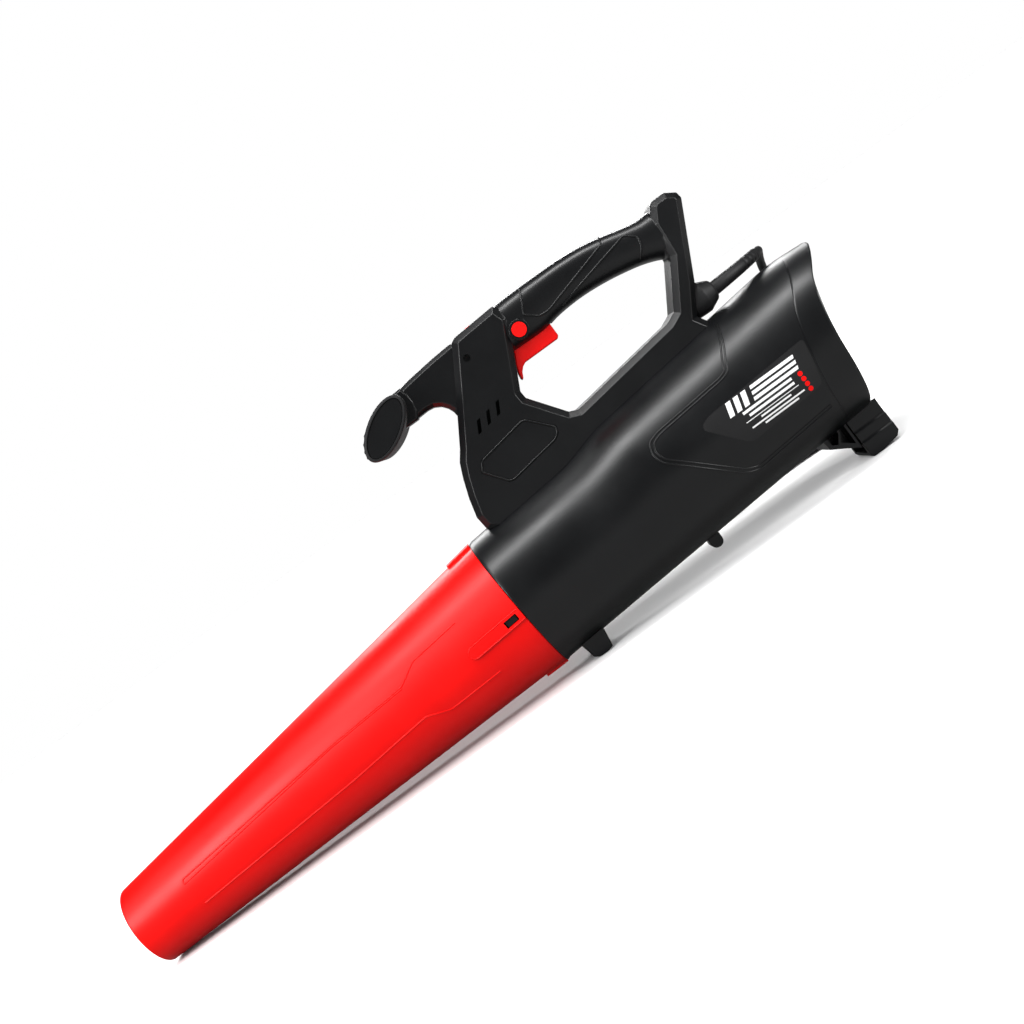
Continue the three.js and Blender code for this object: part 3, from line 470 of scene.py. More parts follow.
rib_outline += [(RIB_HALF - RIB_LENGTH + RIB_HALF * math.cos(a), RIB_HALF * math.sin(a))
                for a in np.linspace(math.pi / 2, 1.5 * math.pi, 17)]
skin = lathe("rib_skin", [(-75, 0.001), (-75, tube_radius(-75) + RIB_PROUD), (-RIB_GAP, TUBE_R + RIB_PROUD),
                          (-RIB_GAP, 0.001)])
ribs = boolean(duct_plate("ribs", rib_outline, -90, -60), [duct_plate("far_rib", rib_outline, 60, 90)],
               "UNION")
ribs = boolean(ribs, [skin], "INTERSECT")
key_skin = lathe("key_skin", [(-40, 0.001), (-40, tube_radius(-40) + 2.6), (-RIB_GAP, TUBE_R + 2.6),
                              (-RIB_GAP, 0.001)])
keys = boolean(block("keys", -28, 4, -9, 9, 60, 80), [block("low_key", -24, 4, -8, 8, -80, -60)], "UNION")
keys = boolean(keys, [key_skin], "INTERSECT")
bore = lathe("bore", [(-120, 0.001), (-120, tube_radius(-120) - TUBE_WALL - 0.15),
                      (-SOCKET_DEPTH - 2.1, tube_radius(-SOCKET_DEPTH - 2) - TUBE_WALL - 0.15),
                      (-SOCKET_DEPTH - 0.1, SOCKET_R - 0.15), (4, SOCKET_R - 0.15), (4, 0.001)])
ribs, keys = boolean(ribs, [copy_of(bore, "rib_bore")]), boolean(keys, [bore])
tube = boolean(tube, [ribs, keys], "UNION")
tube = boolean(tube, [block("slot", -18.5, -5.2, -90, 90, -3.4, 3.4)])
tube = boolean(tube, [block("channel", -19, 1, -TUBE_R - 0.7, TUBE_R + 0.7, -3.4, 3.4)])
soften(tube, 0)
red = surface("glossy_red_plastic", (0.76, 0.0008, 0.0004), (0.86, 0.002, 0.001), 0.36, 1100.0, 0.00001, 0.1,
              specular=0.25)
fit(tube, "tube", "red_plastic", red, "blower_tube")

# Styling lines: thin half-round beads that follow the skin of a moulding. The tree turns
# chains of edges into beads and gives them the moulding's finish.
beads, beads_in, beads_out = group(
    "surface_beads", [("Geometry", "Geometry", None), ("Radius", "Float", 0.0006),
                      ("Finish", "Material", None)],
    [("Geometry", "Geometry")], geometry=True)
as_curve = node(beads, "GeometryNodeMeshToCurve")
profile = node(beads, "GeometryNodeCurvePrimitiveCircle", i_0=8)
as_mesh = node(beads, "GeometryNodeCurveToMesh")
as_mesh.inputs["Fill Caps"].default_value = True
shaded = node(beads, "GeometryNodeSetShadeSmooth")
real = node(beads, "GeometryNodeRealizeInstances")
painted = node(beads, "GeometryNodeSetMaterial")
wire(beads, [
    ((beads_in, "Geometry"), (as_curve, 0)), ((beads_in, "Radius"), (profile, "Radius")),
    ((as_curve, 0), (as_mesh, 0)), ((profile, 0), (as_mesh, 1)), ((as_mesh, 0), (shaded, 0)),
    ((shaded, 0), (real, 0)), ((real, 0), (painted, 0)), ((beads_in, "Finish"), (painted, "Material")),
    ((painted, 0), (beads_out, 0))])


def use_tree(piece, tree, **values):
    """The tree's result as the piece's own plain mesh; each input is set by its identifier."""
    change = piece.modifiers.new("tree", "NODES")
    change.node_group = tree
    names = {item.name: item.identifier for item in tree.interface.items_tree if item.in_out == "INPUT"}
    for key, value in values.items():
        change[names[key.replace("_", " ")]] = value
    return settle(piece)


def chains(name, paths):
    """Open chains of edges through the given points."""
    vertices, edges = [], []
    for path in paths:
        first = len(vertices)
        vertices += [tuple(p) for p in path]
        edges += [(first + i, first + i + 1) for i in range(len(path) - 1)]
    data = bpy.data.meshes.new(name)
    data.from_pydata(vertices, edges, [])
    made = bpy.data.objects.new(name, data)
    bpy.context.scene.collection.objects.link(made)
    return made


def along(points, step=4.0):
    """Points in the plane no further apart than step."""
    line = [points[0]]
    for a, b in zip(points, points[1:]):
        count = max(1, math.ceil(math.dist(a, b) / step))
        line += [tuple(a[k] + (b[k] - a[k]) * i / count for k in range(2)) for i in range(1, count + 1)]
    return line


def rounded(points, radius=4.0, closed=False):
    """The same bent line with its corners cut to short arcs."""
    n = len(points)
    line = [] if closed else [points[0]]
    for i in range(n) if closed else range(1, n - 1):
        b = Vector(points[i])
        a, c = Vector(points[i - 1]), Vector(points[(i + 1) % n])
        r = min(radius, (a - b).length * 0.45, (c - b).length * 0.45)
        p, q = b + (a - b).normalized() * r, b + (c - b).normalized() * r
        line += [tuple(p.lerp(b, t).lerp(b.lerp(q, t), t)) for t in (0, 0.25, 0.5, 0.75, 1)]
    return line + ([line[0]] if closed else [points[-1]])


def to_duct(x, z):
    """Standing x, z as u, v of the duct."""
    dx, dz = x - 453, z - 81.3
    return (dx * math.cos(TILT) + dz * math.sin(TILT), -dx * math.sin(TILT) + dz * math.cos(TILT))


def on_tube(x, z, side):
    u, v = to_duct(x, z)
    return duct(u, side * math.sqrt(max(0.0, (tube_radius(u) - 0.3) ** 2 - v * v)), v)


TUBE_LINES = [
    [(64, 58.5), (64, 62.5), (244.5, 82.6), (328, 88.9), (348, 100.7), (399.5, 107)],
    [(64, 58.5), (244.5, 81.4), (327, 87.4)],
    [(69.5, 34), (244.5, 46), (330, 55), (352, 46.5), (407, 49)]]
tube_lines = chains("tube_styling_lines", [
    [on_tube(x, z, side) for x, z in along(rounded(line, 3))] for line in TUBE_LINES for side in (-1, 1)])
use_tree(tube_lines, beads, Radius=0.0009, Finish=red)
fit(tube_lines, "tube", "red_plastic", red)


def on_rib(u, v, side):
    """A point on the outer face of a latch rib."""
    reach = tube_radius(u) + RIB_PROUD - 0.2
    return duct(u, side * math.sqrt(reach ** 2 - v ** 2), v)


rib_edges = chains("latch_rib_edges", [
    [on_rib(min(u, -1.5), v * 0.97, side) for u, v in along(rib_outline[1:] + rib_outline[:1], 3)]
    for side in (-1, 1)])
use_tree(rib_edges, beads, Radius=0.0006, Finish=red)
fit(rib_edges, "tube", "red_plastic", red)

# ---------------------------------------------------------------- motor body
# Two half shells in satin black plastic, screwed together along the long middle plane. They
# swell at a shoulder behind the handle, carry the spigot in front and end at the guard's joint.
black = surface("satin_black_plastic", (0.0022, 0.0024, 0.0028), (0.0036, 0.0039, 0.0044), 0.33, 1700.0,
                0.000016, 0.35)
SPIGOT_R, SPIGOT_BORE, SPIGOT_LENGTH, BODY_WALL = 63.8, 61.3, 28, 2.6


def ease(t):
    """A smooth step from 0 to 1."""
    s = min(1.0, max(0.0, t))
    return s * s * (3 - 2 * s)


def body_top(u):
    """Height of the body's top line, with its shoulder and the drop towards the guard."""
    return 70.7 + ease((u - 105) / 60) * (7.2 + 0.0233 * (u - 150)) - 8.5 * ease((u - 370) / 70)


def body_bottom(u):
    """Height of the body's bottom line."""
    return -68.8 - 0.018 * u


def body_round(u):
    """Centre height and radius of the body's round section."""
    return (body_top(u) + body_bottom(u)) / 2, (body_top(u) - body_bottom(u)) / 2


JOINT_LINE = [(396, 110), (391, 84), (375, 66), (351, 37), (338, 6.5), (331, -29), (333, -66), (338, -100)]
MOUTH_LINE = [(431.9, 110), (418.4, 77.5), (411, 71.8), (402, 65), (387, 51.7), (375.5, 32), (366, 3),
              (362, -36), (362, -66), (364, -100)]
joint_curve = np.array(smooth_line(JOINT_LINE))[::-1]
mouth_curve = np.array(smooth_line(MOUTH_LINE))[::-1]


def joint_at(v):
    """Where the guard's joint lies at height v."""
    return float(np.interp(v, joint_curve[:, 1], joint_curve[:, 0]))


def mouth_at(v):
    """Where the guard's mouth lies at height v."""
    return float(np.interp(v, mouth_curve[:, 1], mouth_curve[:, 0]))


def half_shell(name, side):
    """One half of the body: an outer and an inner skin over the half turn, closed at all four edges."""
    outer = [(-SPIGOT_LENGTH, 63.0), (-27.6, 63.5), (-27, SPIGOT_R), (0.3, SPIGOT_R), (0.3, 69.0),
             (0.5, 69.4), (1.1, 69.75)]
    inner = [(u, SPIGOT_BORE) for u in (-SPIGOT_LENGTH, -26, -20, -4, 1.0, 3.4)] + [(3.5, 67.0)]
    fixed = [4, 10, 30, 60, 90] + list(range(100, 176, 5)) + [190, 220, 250, 280, 300]
    last = 12
    rows = 91
    grid = {"out": [], "in": []}
    for i in range(rows):
        angle = math.pi * (i / (rows - 1) - 0.5)
        c, s = math.cos(angle), math.sin(angle)
        lines = {"out": [(u, 0.0, r) for u, r in outer], "in": [(u, 0.0, r) for u, r in inner]}
        for key, thin in (("out", 0.0), ("in", BODY_WALL)):
            for u in fixed:
                centre, r = body_round(u)
                lines[key].append((u, centre, r - thin))
            for k in range(1, last + 1):
                end = 350.0
                for _ in range(6):
                    centre, r = body_round(end)
                    end = joint_at(centre + (r - thin) * s)
                u = 300 + (end - 300) * k / last
                centre, r = body_round(u)
                lines[key].append((u, centre, r - thin))
            grid[key].append([duct(u, side * max(0.12, r * c), centre + r * s)
                              for u, centre, r in lines[key]])
    m = len(grid["out"][0])
    vertices = [p for key in ("out", "in") for row in grid[key] for p in row]
    index = lambda key, i, k: (0 if key == "out" else rows * m) + i * m + k
    faces = []
    for i in range(rows - 1):
        for k in range(m - 1):
            for key in ("out", "in"):
                faces.append((index(key, i, k), index(key, i, k + 1), index(key, i + 1, k + 1),
                              index(key, i + 1, k)))
        for k in (0, m - 1):
            faces.append((index("out", i, k), index("out", i + 1, k), index("in", i + 1, k),
                          index("in", i, k)))
    for k in range(m - 1):
        for i in (0, rows - 1):
            faces.append((index("out", i, k), index("out", i, k + 1), index("in", i, k + 1),
                          index("in", i, k)))
    return mesh_piece(name, vertices, faces)


BODY_SCREWS = [(40, -51), (200, -55), (275, -57), (60, 52), (205, 60), (275, 62)]
WELL_R, THREAD_R, BOSS_R, HEAD_DEPTH = 3.4, 1.7, 4.3, 8


def round_bar(name, u, v, radius, y0, y1, place=duct, sides=24):
    """A round bar across the blower, from y0 to y1."""
    ring = [(u + radius * math.cos(2 * math.pi * i / sides), v + radius * math.sin(2 * math.pi * i / sides))
            for i in range(sides)]
    return loft(name, [[place(a, y, b) for a, b in ring] for y in (y0, y1)])


def joined(pieces, name):
    """One object from several meshes."""
    keep = pieces[0]
    with bpy.context.temp_override(active_object=keep, selected_editable_objects=pieces):
        bpy.ops.object.join()
    keep.name = keep.data.name = name
    return keep


for side, name in ((-1, "left"), (1, "right")):
    shell = half_shell(f"body_half_{name}", side)
    cuts = [block("window", -18.8, -4.9, *sorted((0, side * 90)), -3.7, 3.7)]
    if side > 0:
        cuts += [round_bar("screw_well", u, v, WELL_R, HEAD_DEPTH, 90) for u, v in BODY_SCREWS]
    shell = soften(boolean(shell, cuts), 0)
    fit(shell, "housing", "black_plastic", black, f"body_shell_{name}")

# Stiffened bosses inside the halves, with the screws' wells opening on the right side.
bosses = []
for u, v in BODY_SCREWS:
    centre, radius = body_round(u)
    reach = math.sqrt((radius - 1.2) ** 2 - (abs(v - centre) + BOSS_R) ** 2)
    left = round_bar("boss", u, v, BOSS_R, -reach, -0.2)
    bosses.append(boolean(left, [round_bar("hole", u, v, THREAD_R, -14, 1)]))
    right = round_bar("boss", u, v, BOSS_R, 0.2, reach)
    bosses.append(boolean(right, [round_bar("well", u, v, WELL_R, HEAD_DEPTH, 99),
                                  round_bar("hole", u, v, THREAD_R, -1, 20)]))
fit(soften(joined(bosses, "body_screw_bosses"), 0), "housing", "black_plastic", black)


def on_body(x, z, side, proud=0.0):
    """The point of the body's side at a standing x, z."""
    u, v = to_duct(x, z)
    centre, radius = body_round(u)
    return duct(u, side * math.sqrt(max(0.0, (radius + proud) ** 2 - (v - centre) ** 2)), v)


PANEL_OUTER = [(750.5, 186), (737, 165.5), (728, 153.5), (723.5, 145), (715, 142.3), (642.5, 135.5),
               (633.5, 132.5), (629.5, 125.5), (632, 116.5), (686.5, 66), (697.5, 61.2), (780, 68.3)]
PANEL_INNER = [(747, 184), (734, 165.5), (725, 154.5), (721, 147), (714, 144.6), (641, 138), (630, 134.5),
               (626, 125.5), (628.5, 115), (684.5, 63), (696.5, 58.2), (780, 65.5)]
LABEL_LINE = [(790.5, 131), (685, 124), (676.5, 121), (674.5, 116), (701, 85), (707, 83), (782, 88.5)]
panel_lines = chains("body_styling_lines", [
    [on_body(x, z, side, -0.32) for x, z in along(rounded(line, 5))]
    for line in (PANEL_OUTER, PANEL_INNER) for side in (-1, 1)])
use_tree(panel_lines, beads, Radius=0.001, Finish=black)
fit(panel_lines, "housing", "black_plastic", black)

# ---------------------------------------------------------------- rating label
# A thin printed film bonded to the left side between the styling lines: a plain grey ground,
# white bars and rules in place of print, and four small red dots.
FILM, PRINT, DOT_R, LINE_RISE = 0.12, 0.05, 2.3, 0.006


def film(name, outline, proud, thick, step=3.0):
    """A thin curved patch of the body's side inside a convex outline of (x, z)."""
    form = bmesh.new()
    form.faces.new([form.verts.new((x, 0, z)) for x, z in outline])
    low = [min(p[k] for p in outline) for k in (0, 1)]
    high = [max(p[k] for p in outline) for k in (0, 1)]
    for axis in (0, 1):
        for i in range(1, int((high[axis] - low[axis]) / step) + 1):
            point, normal = [0, 0, 0], [0, 0, 0]
            point[2 * axis], normal[2 * axis] = low[axis] + i * step, 1
            bmesh.ops.bisect_plane(form, geom=form.verts[:] + form.edges[:] + form.faces[:],
                                   plane_co=point, plane_no=normal)
    plan = [(v.co.x, v.co.z) for v in form.verts]
    form.verts.index_update()
    flat = [[v.index for v in f.verts] for f in form.faces]
    edge = [tuple(v.index for v in e.verts) for e in form.edges if len(e.link_faces) == 1]
    form.free()
    n = len(plan)
    vertices = [on_body(x, z, -1, proud) for x, z in plan] + [on_body(x, z, -1, proud - thick)
                                                              for x, z in plan]
    faces = [tuple(f) for f in flat] + [tuple(n + i for i in f) for f in flat]
    faces += [(a, b, n + b, n + a) for a, b in edge]
    return mesh_piece(name, vertices, faces)


def bar(x0, x1, z, height, slant=0.0):
    """A bar along the label; its line rises with the body's side."""
    z0, z1 = z + LINE_RISE * (x0 - 700), z + LINE_RISE * (x1 - 700)
    return [(x0, z0), (x1, z1), (x1 + slant, z1 + height), (x0 + slant, z0 + height)]


film_grey = surface("label_film", (0.006, 0.006, 0.0065), (0.009, 0.009, 0.0095), 0.42, 500.0, 0.000004, 0.2)
print_white = surface("white_print", (0.72, 0.72, 0.72), (0.82, 0.82, 0.82), 0.45, 800.0, 0.000003, 0.1)
label_ground = film("rating_label_ground", rounded(LABEL_LINE, 4, closed=True), FILM, 0.2)
fit(soften(label_ground, 0), "housing", "black_plastic", film_grey)
blocks = [bar(699, 704, 111.5, 13, 4), bar(707, 712, 111.5, 13, 4), bar(715, 720, 111.5, 13, 4),
          bar(725, 772, 111.5, 3, 1), bar(726.5, 773, 116.5, 3, 1), bar(728, 774, 121.5, 3, 1)]
rules = [bar(710, 762, 107, 2.4), bar(714, 762, 102.6, 2.4), bar(708, 764, 99.6, 0.7),
         bar(722, 754, 96.2, 1.6), bar(710, 766, 92.6, 1.5), bar(722, 758, 89.4, 1.7)]
white = joined([film("white", shape, FILM + PRINT, 0.08) for shape in blocks + rules], "rating_label_print")
fit(soften(white, 0), "housing", "black_plastic", print_white)
dots = joined([film("dot", [(x + DOT_R * math.cos(a), z + DOT_R * math.sin(a))
                            for a in np.linspace(0, 2 * math.pi, 21)[:-1]], FILM + PRINT, 0.08)
               for x, z in ((770.5, 107.6), (770.8, 102.2), (771.1, 96.8), (771.4, 91.4))],
              "rating_label_dots")
fit(soften(dots, 0), "housing", "red_plastic", red)

# ---------------------------------------------------------------- tail bracket, front foot, bag peg
# Moulded with the body: an open ribbed bracket under the tail, a stubby foot in front, and a
# round-ended peg that takes the strap of a collecting bag.


def body_core(name, grow, u0=4.0, u1=420.0):
    """The solid inside of the body, for trimming what stands on it."""
    turns = [2 * math.pi * i / 96 for i in range(96)]
    rings = []
    for u in [u0] + list(range(100, 176, 10)) + [230, 320, 372, 390, 405, u1]:
        centre, radius = body_round(u)
        rings.append([duct(u, (radius + grow) * math.cos(a), centre + (radius + grow) * math.sin(a))
                      for a in turns])
    return loft(name, rings)


bracket = plate("tail_bracket", [(764, 52), (766, 28), (777, 21.5), (791.3, 12.5), (791.3, 52)], -20, 20)
front_pocket = [(768.2, 53), (770, 30), (775, 27.2), (781, 36), (778, 53)]
rear_pocket = [(780.5, 53), (783.2, 36), (778, 27.5), (789, 19), (789, 53)]
bracket = boolean(bracket, [plate("pocket", shape, y0, y1) for shape in (front_pocket, rear_pocket)
                            for y0, y1 in ((-21, -2), (2, 21))] + [body_core("core", -1.0)])
soften(bracket, 0.0004, 2)
fit(bracket, "housing", "black_plastic", black)
for name, node_name, edge in (("front_foot_moulding", "front_foot", 0.0012),
                              ("bag_peg_moulding", "bag_peg", 0.0006)):
    fit(soften(from_cad(name, node_name), edge, 3), "housing", "black_plastic", black, node_name)

# ---------------------------------------------------------------- screws
# Eleven pan-head self-tapping screws in plated steel hold the halves together. One screw is
# modelled, and the tree sets a copy on every point with its head turned the point's way.
steel = surface("plated_steel", (0.42, 0.43, 0.45), (0.56, 0.57, 0.59), 0.28, 900.0, 0.000006, 0.5,
                metallic=1.0)


def plain(x, y, z):
    """Millimetres about the origin as metres."""
    return Vector((x / 1000, y / 1000, z / 1000))


def turned_y(name, profile, sides=24):
    """A (depth, radius) profile turned about Y at the origin, closed at its poles."""
    vertices, faces, n = [], [], len(profile)
    for i in range(sides):
        a = 2 * math.pi * i / sides
        vertices += [plain(r * math.cos(a), y, r * math.sin(a)) for y, r in profile]
    for i in range(sides):
        j = (i + 1) % sides
        faces += [(i * n + k, i * n + k + 1, j * n + k + 1, j * n + k) for k in range(n - 1)]
    return mesh_piece(name, vertices, faces)


head = turned_y("screw_head",
                [(2.2, 0.00001), (2.2, 1.6), (1.9, 2.4), (1.2, 2.9), (0, 3), (0, 1.4), (-18, 1.4),
                               (-19, 0.00001)])
slots = [block("slot", -0.35, 0.35, 1.1, 3, -1.7, 1.7, plain),
         block("slot", -1.7, 1.7, 1.1, 3, -0.35, 0.35, plain)]
head = soften(boolean(head, slots), 0)
setting, setting_in, setting_out = group(
    "screws_on_points", [("Geometry", "Geometry", None), ("Screw", "Object", None), ("Turn", "Float", 0.0),
                         ("Finish", "Material", None)], [("Geometry", "Geometry")], geometry=True)
screw_mesh = node(setting, "GeometryNodeObjectInfo")
on_points = node(setting, "GeometryNodeInstanceOnPoints")
turn_xyz = node(setting, "ShaderNodeCombineXYZ")
real_screws = node(setting, "GeometryNodeRealizeInstances")
painted_screws = node(setting, "GeometryNodeSetMaterial")
wire(setting, [
    ((setting_in, "Geometry"), (on_points, "Points")), ((setting_in, "Screw"), (screw_mesh, "Object")),
    ((screw_mesh, "Geometry"), (on_points, "Instance")), ((setting_in, "Turn"), (turn_xyz, "Z")),
    ((turn_xyz, 0), (on_points, "Rotation")), ((on_points, 0), (real_screws, 0)),
    ((real_screws, 0), (painted_screws, 0)), ((setting_in, "Finish"), (painted_screws, "Material")),
    ((painted_screws, 0), (setting_out, 0))])


def set_screws(name, points, turn, *nodes):
    """A group of screws on the points, heads turned by an angle about the upright."""
    piece = chains(name, [[p] for p in points])
    use_tree(piece, setting, Screw=head, Turn=turn, Finish=steel)
    return fit(piece, "housing", "steel", steel, *nodes)


HEAD_AT = HEAD_DEPTH + 0.3
set_screws("body_screws", [duct(u, HEAD_AT, v) for u, v in BODY_SCREWS], 0.0,
           *[f"body_screw_{i}" for i in range(1, 7)])
set_screws("handle_screws", [at(x, HEAD_AT, z) for x, z in ((488, 176), (590, 183), (700, 195), (778, 294))],
           0.0, *[f"handle_screw_{i}" for i in range(2, 6)])
set_screws("arm_screw", [at(547, -HEAD_AT, 291.5)], math.pi, "handle_screw_1")
bpy.data.objects.remove(head)

# ---------------------------------------------------------------- tube latches
# Two sprung black latches inside the spigot; their heads stand in the tube's slots and are
# pressed in with a finger to let the tube off.
for side, name in ((-1, "left"), (1, "right")):
    latch = from_cad(f"tube_latch_{name}_moulding", f"tube_latch_{name}")
    fit(soften(latch, 0.0004, 2), f"latch_{name}", "black_plastic", black, f"tube_latch_{name}")

# ---------------------------------------------------------------- intake guard
# A black band that closes the air inlet on the slanted joint, with a flared mouth and the wide
# stepped rear foot below it. Inside it a grille keeps fingers off the fan.
JOINT_GAP = 0.3


def guard_band(name):
    """The band between joint and mouth: an outer and an inner skin, closed at both edges."""
    rows, steps = 180, 22
    skins = []
    for thin in (0.0, BODY_WALL + 0.4):
        grid = []
        for i in range(rows):
            s, c = math.sin(2 * math.pi * i / rows), math.cos(2 * math.pi * i / rows)
            ends = []
            for edge, u in ((joint_at, 350.0), (mouth_at, 390.0)):
                for _ in range(8):
                    centre, r = body_round(u)
                    u = edge(centre + (r - thin) * s)
                ends.append(u)
            u0, u1 = ends[0] + JOINT_GAP, ends[1]
            line = []
            for k in range(steps + 1):
                t = k / steps
                u = u0 + (u1 - u0) * t
                centre, r = body_round(u)
                round_off = 0.5 * max(0.0, (t - 0.97) / 0.03) if thin == 0 else 0.0
                lip = 0.35 if thin == 0 and k == 0 else 0.0
                line.append(duct(u, (r - thin - round_off - lip) * c,
                                 centre + (r - thin - round_off - lip) * s))
            grid.append(line)
        skins.append(grid)
    m = steps + 1
    vertices = [p for grid in skins for row in grid for p in row]
    faces = []
    for i in range(rows):
        j = (i + 1) % rows
        for k in range(m - 1):
            for base in (0, rows * m):
                faces.append((base + i * m + k, base + i * m + k + 1, base + j * m + k + 1, base + j * m + k))
        for k in (0, m - 1):
            faces.append((i * m + k, j * m + k, rows * m + j * m + k, rows * m + i * m + k))
    return mesh_piece(name, vertices, faces)


guard = guard_band("intake_guard_moulding")
FOOT = [(792.3, 60), (793, 3), (795, 0), (806, 0), (823, 3), (827, 7), (827, 60)]
FOOT_STEPS = [(-23.2, 0), (23.2, 0), (23.2, 15.2), (21.6, 17), (21.6, 26), (20, 28), (20, 60), (-20, 60),
              (-20, 28), (-21.6, 26), (-21.6, 17), (-23.2, 15.2)]
foot = loft("rear_foot", [[at(x, y, z) for y, z in FOOT_STEPS] for x in (780, 840)])
foot = soften(boolean(foot, [plate("foot_side", FOOT, -30, 30)], "INTERSECT"), 0.0007, 3)
foot = boolean(foot, [block("hollow", 780, 823.5, -17, 17, 5, 39, at), body_core("core", -1.5)])
guard = boolean(guard, [foot], "UNION")
fit(soften(guard, 0), "guard", "black_plastic", black, "intake_guard")

# Spokes, blades, vanes and dial teeth are all one shape repeated about an axis along the duct.
# The tree copies its own piece round a point and joins the copies.
turning, turning_in, turning_out = group(
    "copies_about_axis", [("Geometry", "Geometry", None), ("Count", "Int", 6), ("Axis", "Vector", None),
                          ("Centre", "Vector", None), ("Finish", "Material", None)],
    [("Geometry", "Geometry")], geometry=True)
row = node(turning, "GeometryNodeMeshLine", mode="OFFSET")
row.inputs["Offset"].default_value = (0, 0, 0)
at_centre = node(turning, "GeometryNodeSetPosition")
number = node(turning, "GeometryNodeInputIndex")
share = node(turning, "ShaderNodeMath", operation="DIVIDE")
whole = node(turning, "ShaderNodeMath", operation="MULTIPLY", i_1=2 * math.pi)
turn_by = node(turning, "FunctionNodeAxisAngleToRotation")
back = node(turning, "GeometryNodeTransform")
minus = node(turning, "ShaderNodeVectorMath", operation="SCALE")
minus.inputs["Scale"].default_value = -1
copies = node(turning, "GeometryNodeInstanceOnPoints")
real_copies = node(turning, "GeometryNodeRealizeInstances")
painted_copies = node(turning, "GeometryNodeSetMaterial")
wire(turning, [
    ((turning_in, "Count"), (row, "Count")), ((row, 0), (at_centre, "Geometry")),
    ((turning_in, "Centre"), (at_centre, "Position")), ((number, 0), (share, 0)),
    ((turning_in, "Count"), (share, 1)), ((share, 0), (whole, 0)), ((whole, 0), (turn_by, "Angle")),
    ((turning_in, "Axis"), (turn_by, "Axis")), ((turning_in, "Centre"), (minus, 0)),
    ((turning_in, "Geometry"), (back, "Geometry")), ((minus, 0), (back, "Translation")),
    ((at_centre, 0), (copies, "Points")), ((back, 0), (copies, "Instance")),
    ((turn_by, 0), (copies, "Rotation")), ((copies, 0), (real_copies, 0)),
    ((real_copies, 0), (painted_copies, 0)), ((turning_in, "Finish"), (painted_copies, "Material")),
    ((painted_copies, 0), (turning_out, 0))])
DUCT_AXIS = (math.cos(TILT), 0, math.sin(TILT))


def round_about(piece, count, centre, finish, axis=DUCT_AXIS):
    """The piece copied evenly round an axis."""
    return use_tree(piece, turning, Count=count, Axis=axis, Centre=tuple(centre), Finish=finish)


GRILLE_U, GRILLE_T, GRILLE_V = 341.5, 2.6, 3.9
spoke = block("spoke", GRILLE_U, GRILLE_U + GRILLE_T, -1.2, 1.2, GRILLE_V + 8, GRILLE_V + 73)
soften(spoke, 0.0004, 2)
round_about(spoke, 6, duct(GRILLE_U, 0, GRILLE_V), black)
rings = [lathe("ring", [(GRILLE_U, r - 1.4), (GRILLE_U, r + 1.0), (GRILLE_U + 0.5, r + 1.4),
                        (GRILLE_U + GRILLE_T - 0.5, r + 1.4), (GRILLE_U + GRILLE_T, r + 1.0),
                        (GRILLE_U + GRILLE_T, r - 1.4)], GRILLE_V, 96) for r in (31, 52, 73.4)]
boss = lathe("grille_boss", [(GRILLE_U, 0.01), (GRILLE_U, 10.6), (GRILLE_U + 0.6, 11), (GRILLE_U + 2, 11),
                             (GRILLE_U + GRILLE_T, 10), (GRILLE_U + GRILLE_T, 0.01)], GRILLE_V, 48)
grille = joined([spoke, boss] + rings, "intake_grille_moulding")
fit(soften(grille, 0), "guard", "black_plastic", black, "intake_grille")

# ---------------------------------------------------------------- motor and fan
# A universal motor in a grey glass-filled pod, held in the duct by swirl vanes. Its shaft
# carries the fan, a hub cone with nine twisted blades, and a nut.
MOTOR_V = 3.0
HUB_FRONT, BLADE_U, BLADE_ROOT, BLADE_TIP = 296, 308, 26, 65.9
BLADE_SECTION = [(-13, 0), (-9, -0.7), (0, -1.2), (9, -0.8), (13, -0.2), (13, 0.2), (9, 0.8), (0, 1.2),
                 (-9, 0.7)]
grey = surface("grey_glass_filled_plastic", (0.09, 0.095, 0.1), (0.13, 0.135, 0.14), 0.5, 800.0, 0.00003, 0.3)
copper = surface("enamelled_copper", (0.5, 0.2, 0.08), (0.62, 0.27, 0.12), 0.34, 600.0, 0.00003, 0.2,
                 metallic=1.0)
carbon = surface("pressed_carbon", (0.02, 0.02, 0.02), (0.035, 0.035, 0.035), 0.7, 1300.0, 0.00003, 0.2)


def bladed(name, radii):
    """One fan blade: a twisted lens section lofted outwards from the hub."""
    rings = []
    for r, twist in radii:
        ring = []
        for along_u, thick in BLADE_SECTION:
            u = along_u * math.cos(twist) - thick * math.sin(twist)
            y = along_u * math.sin(twist) + thick * math.cos(twist)
            ring.append(duct(BLADE_U + u, y, MOTOR_V + math.sqrt(r * r - y * y)))
        rings.append(ring)
    return loft(name, rings)


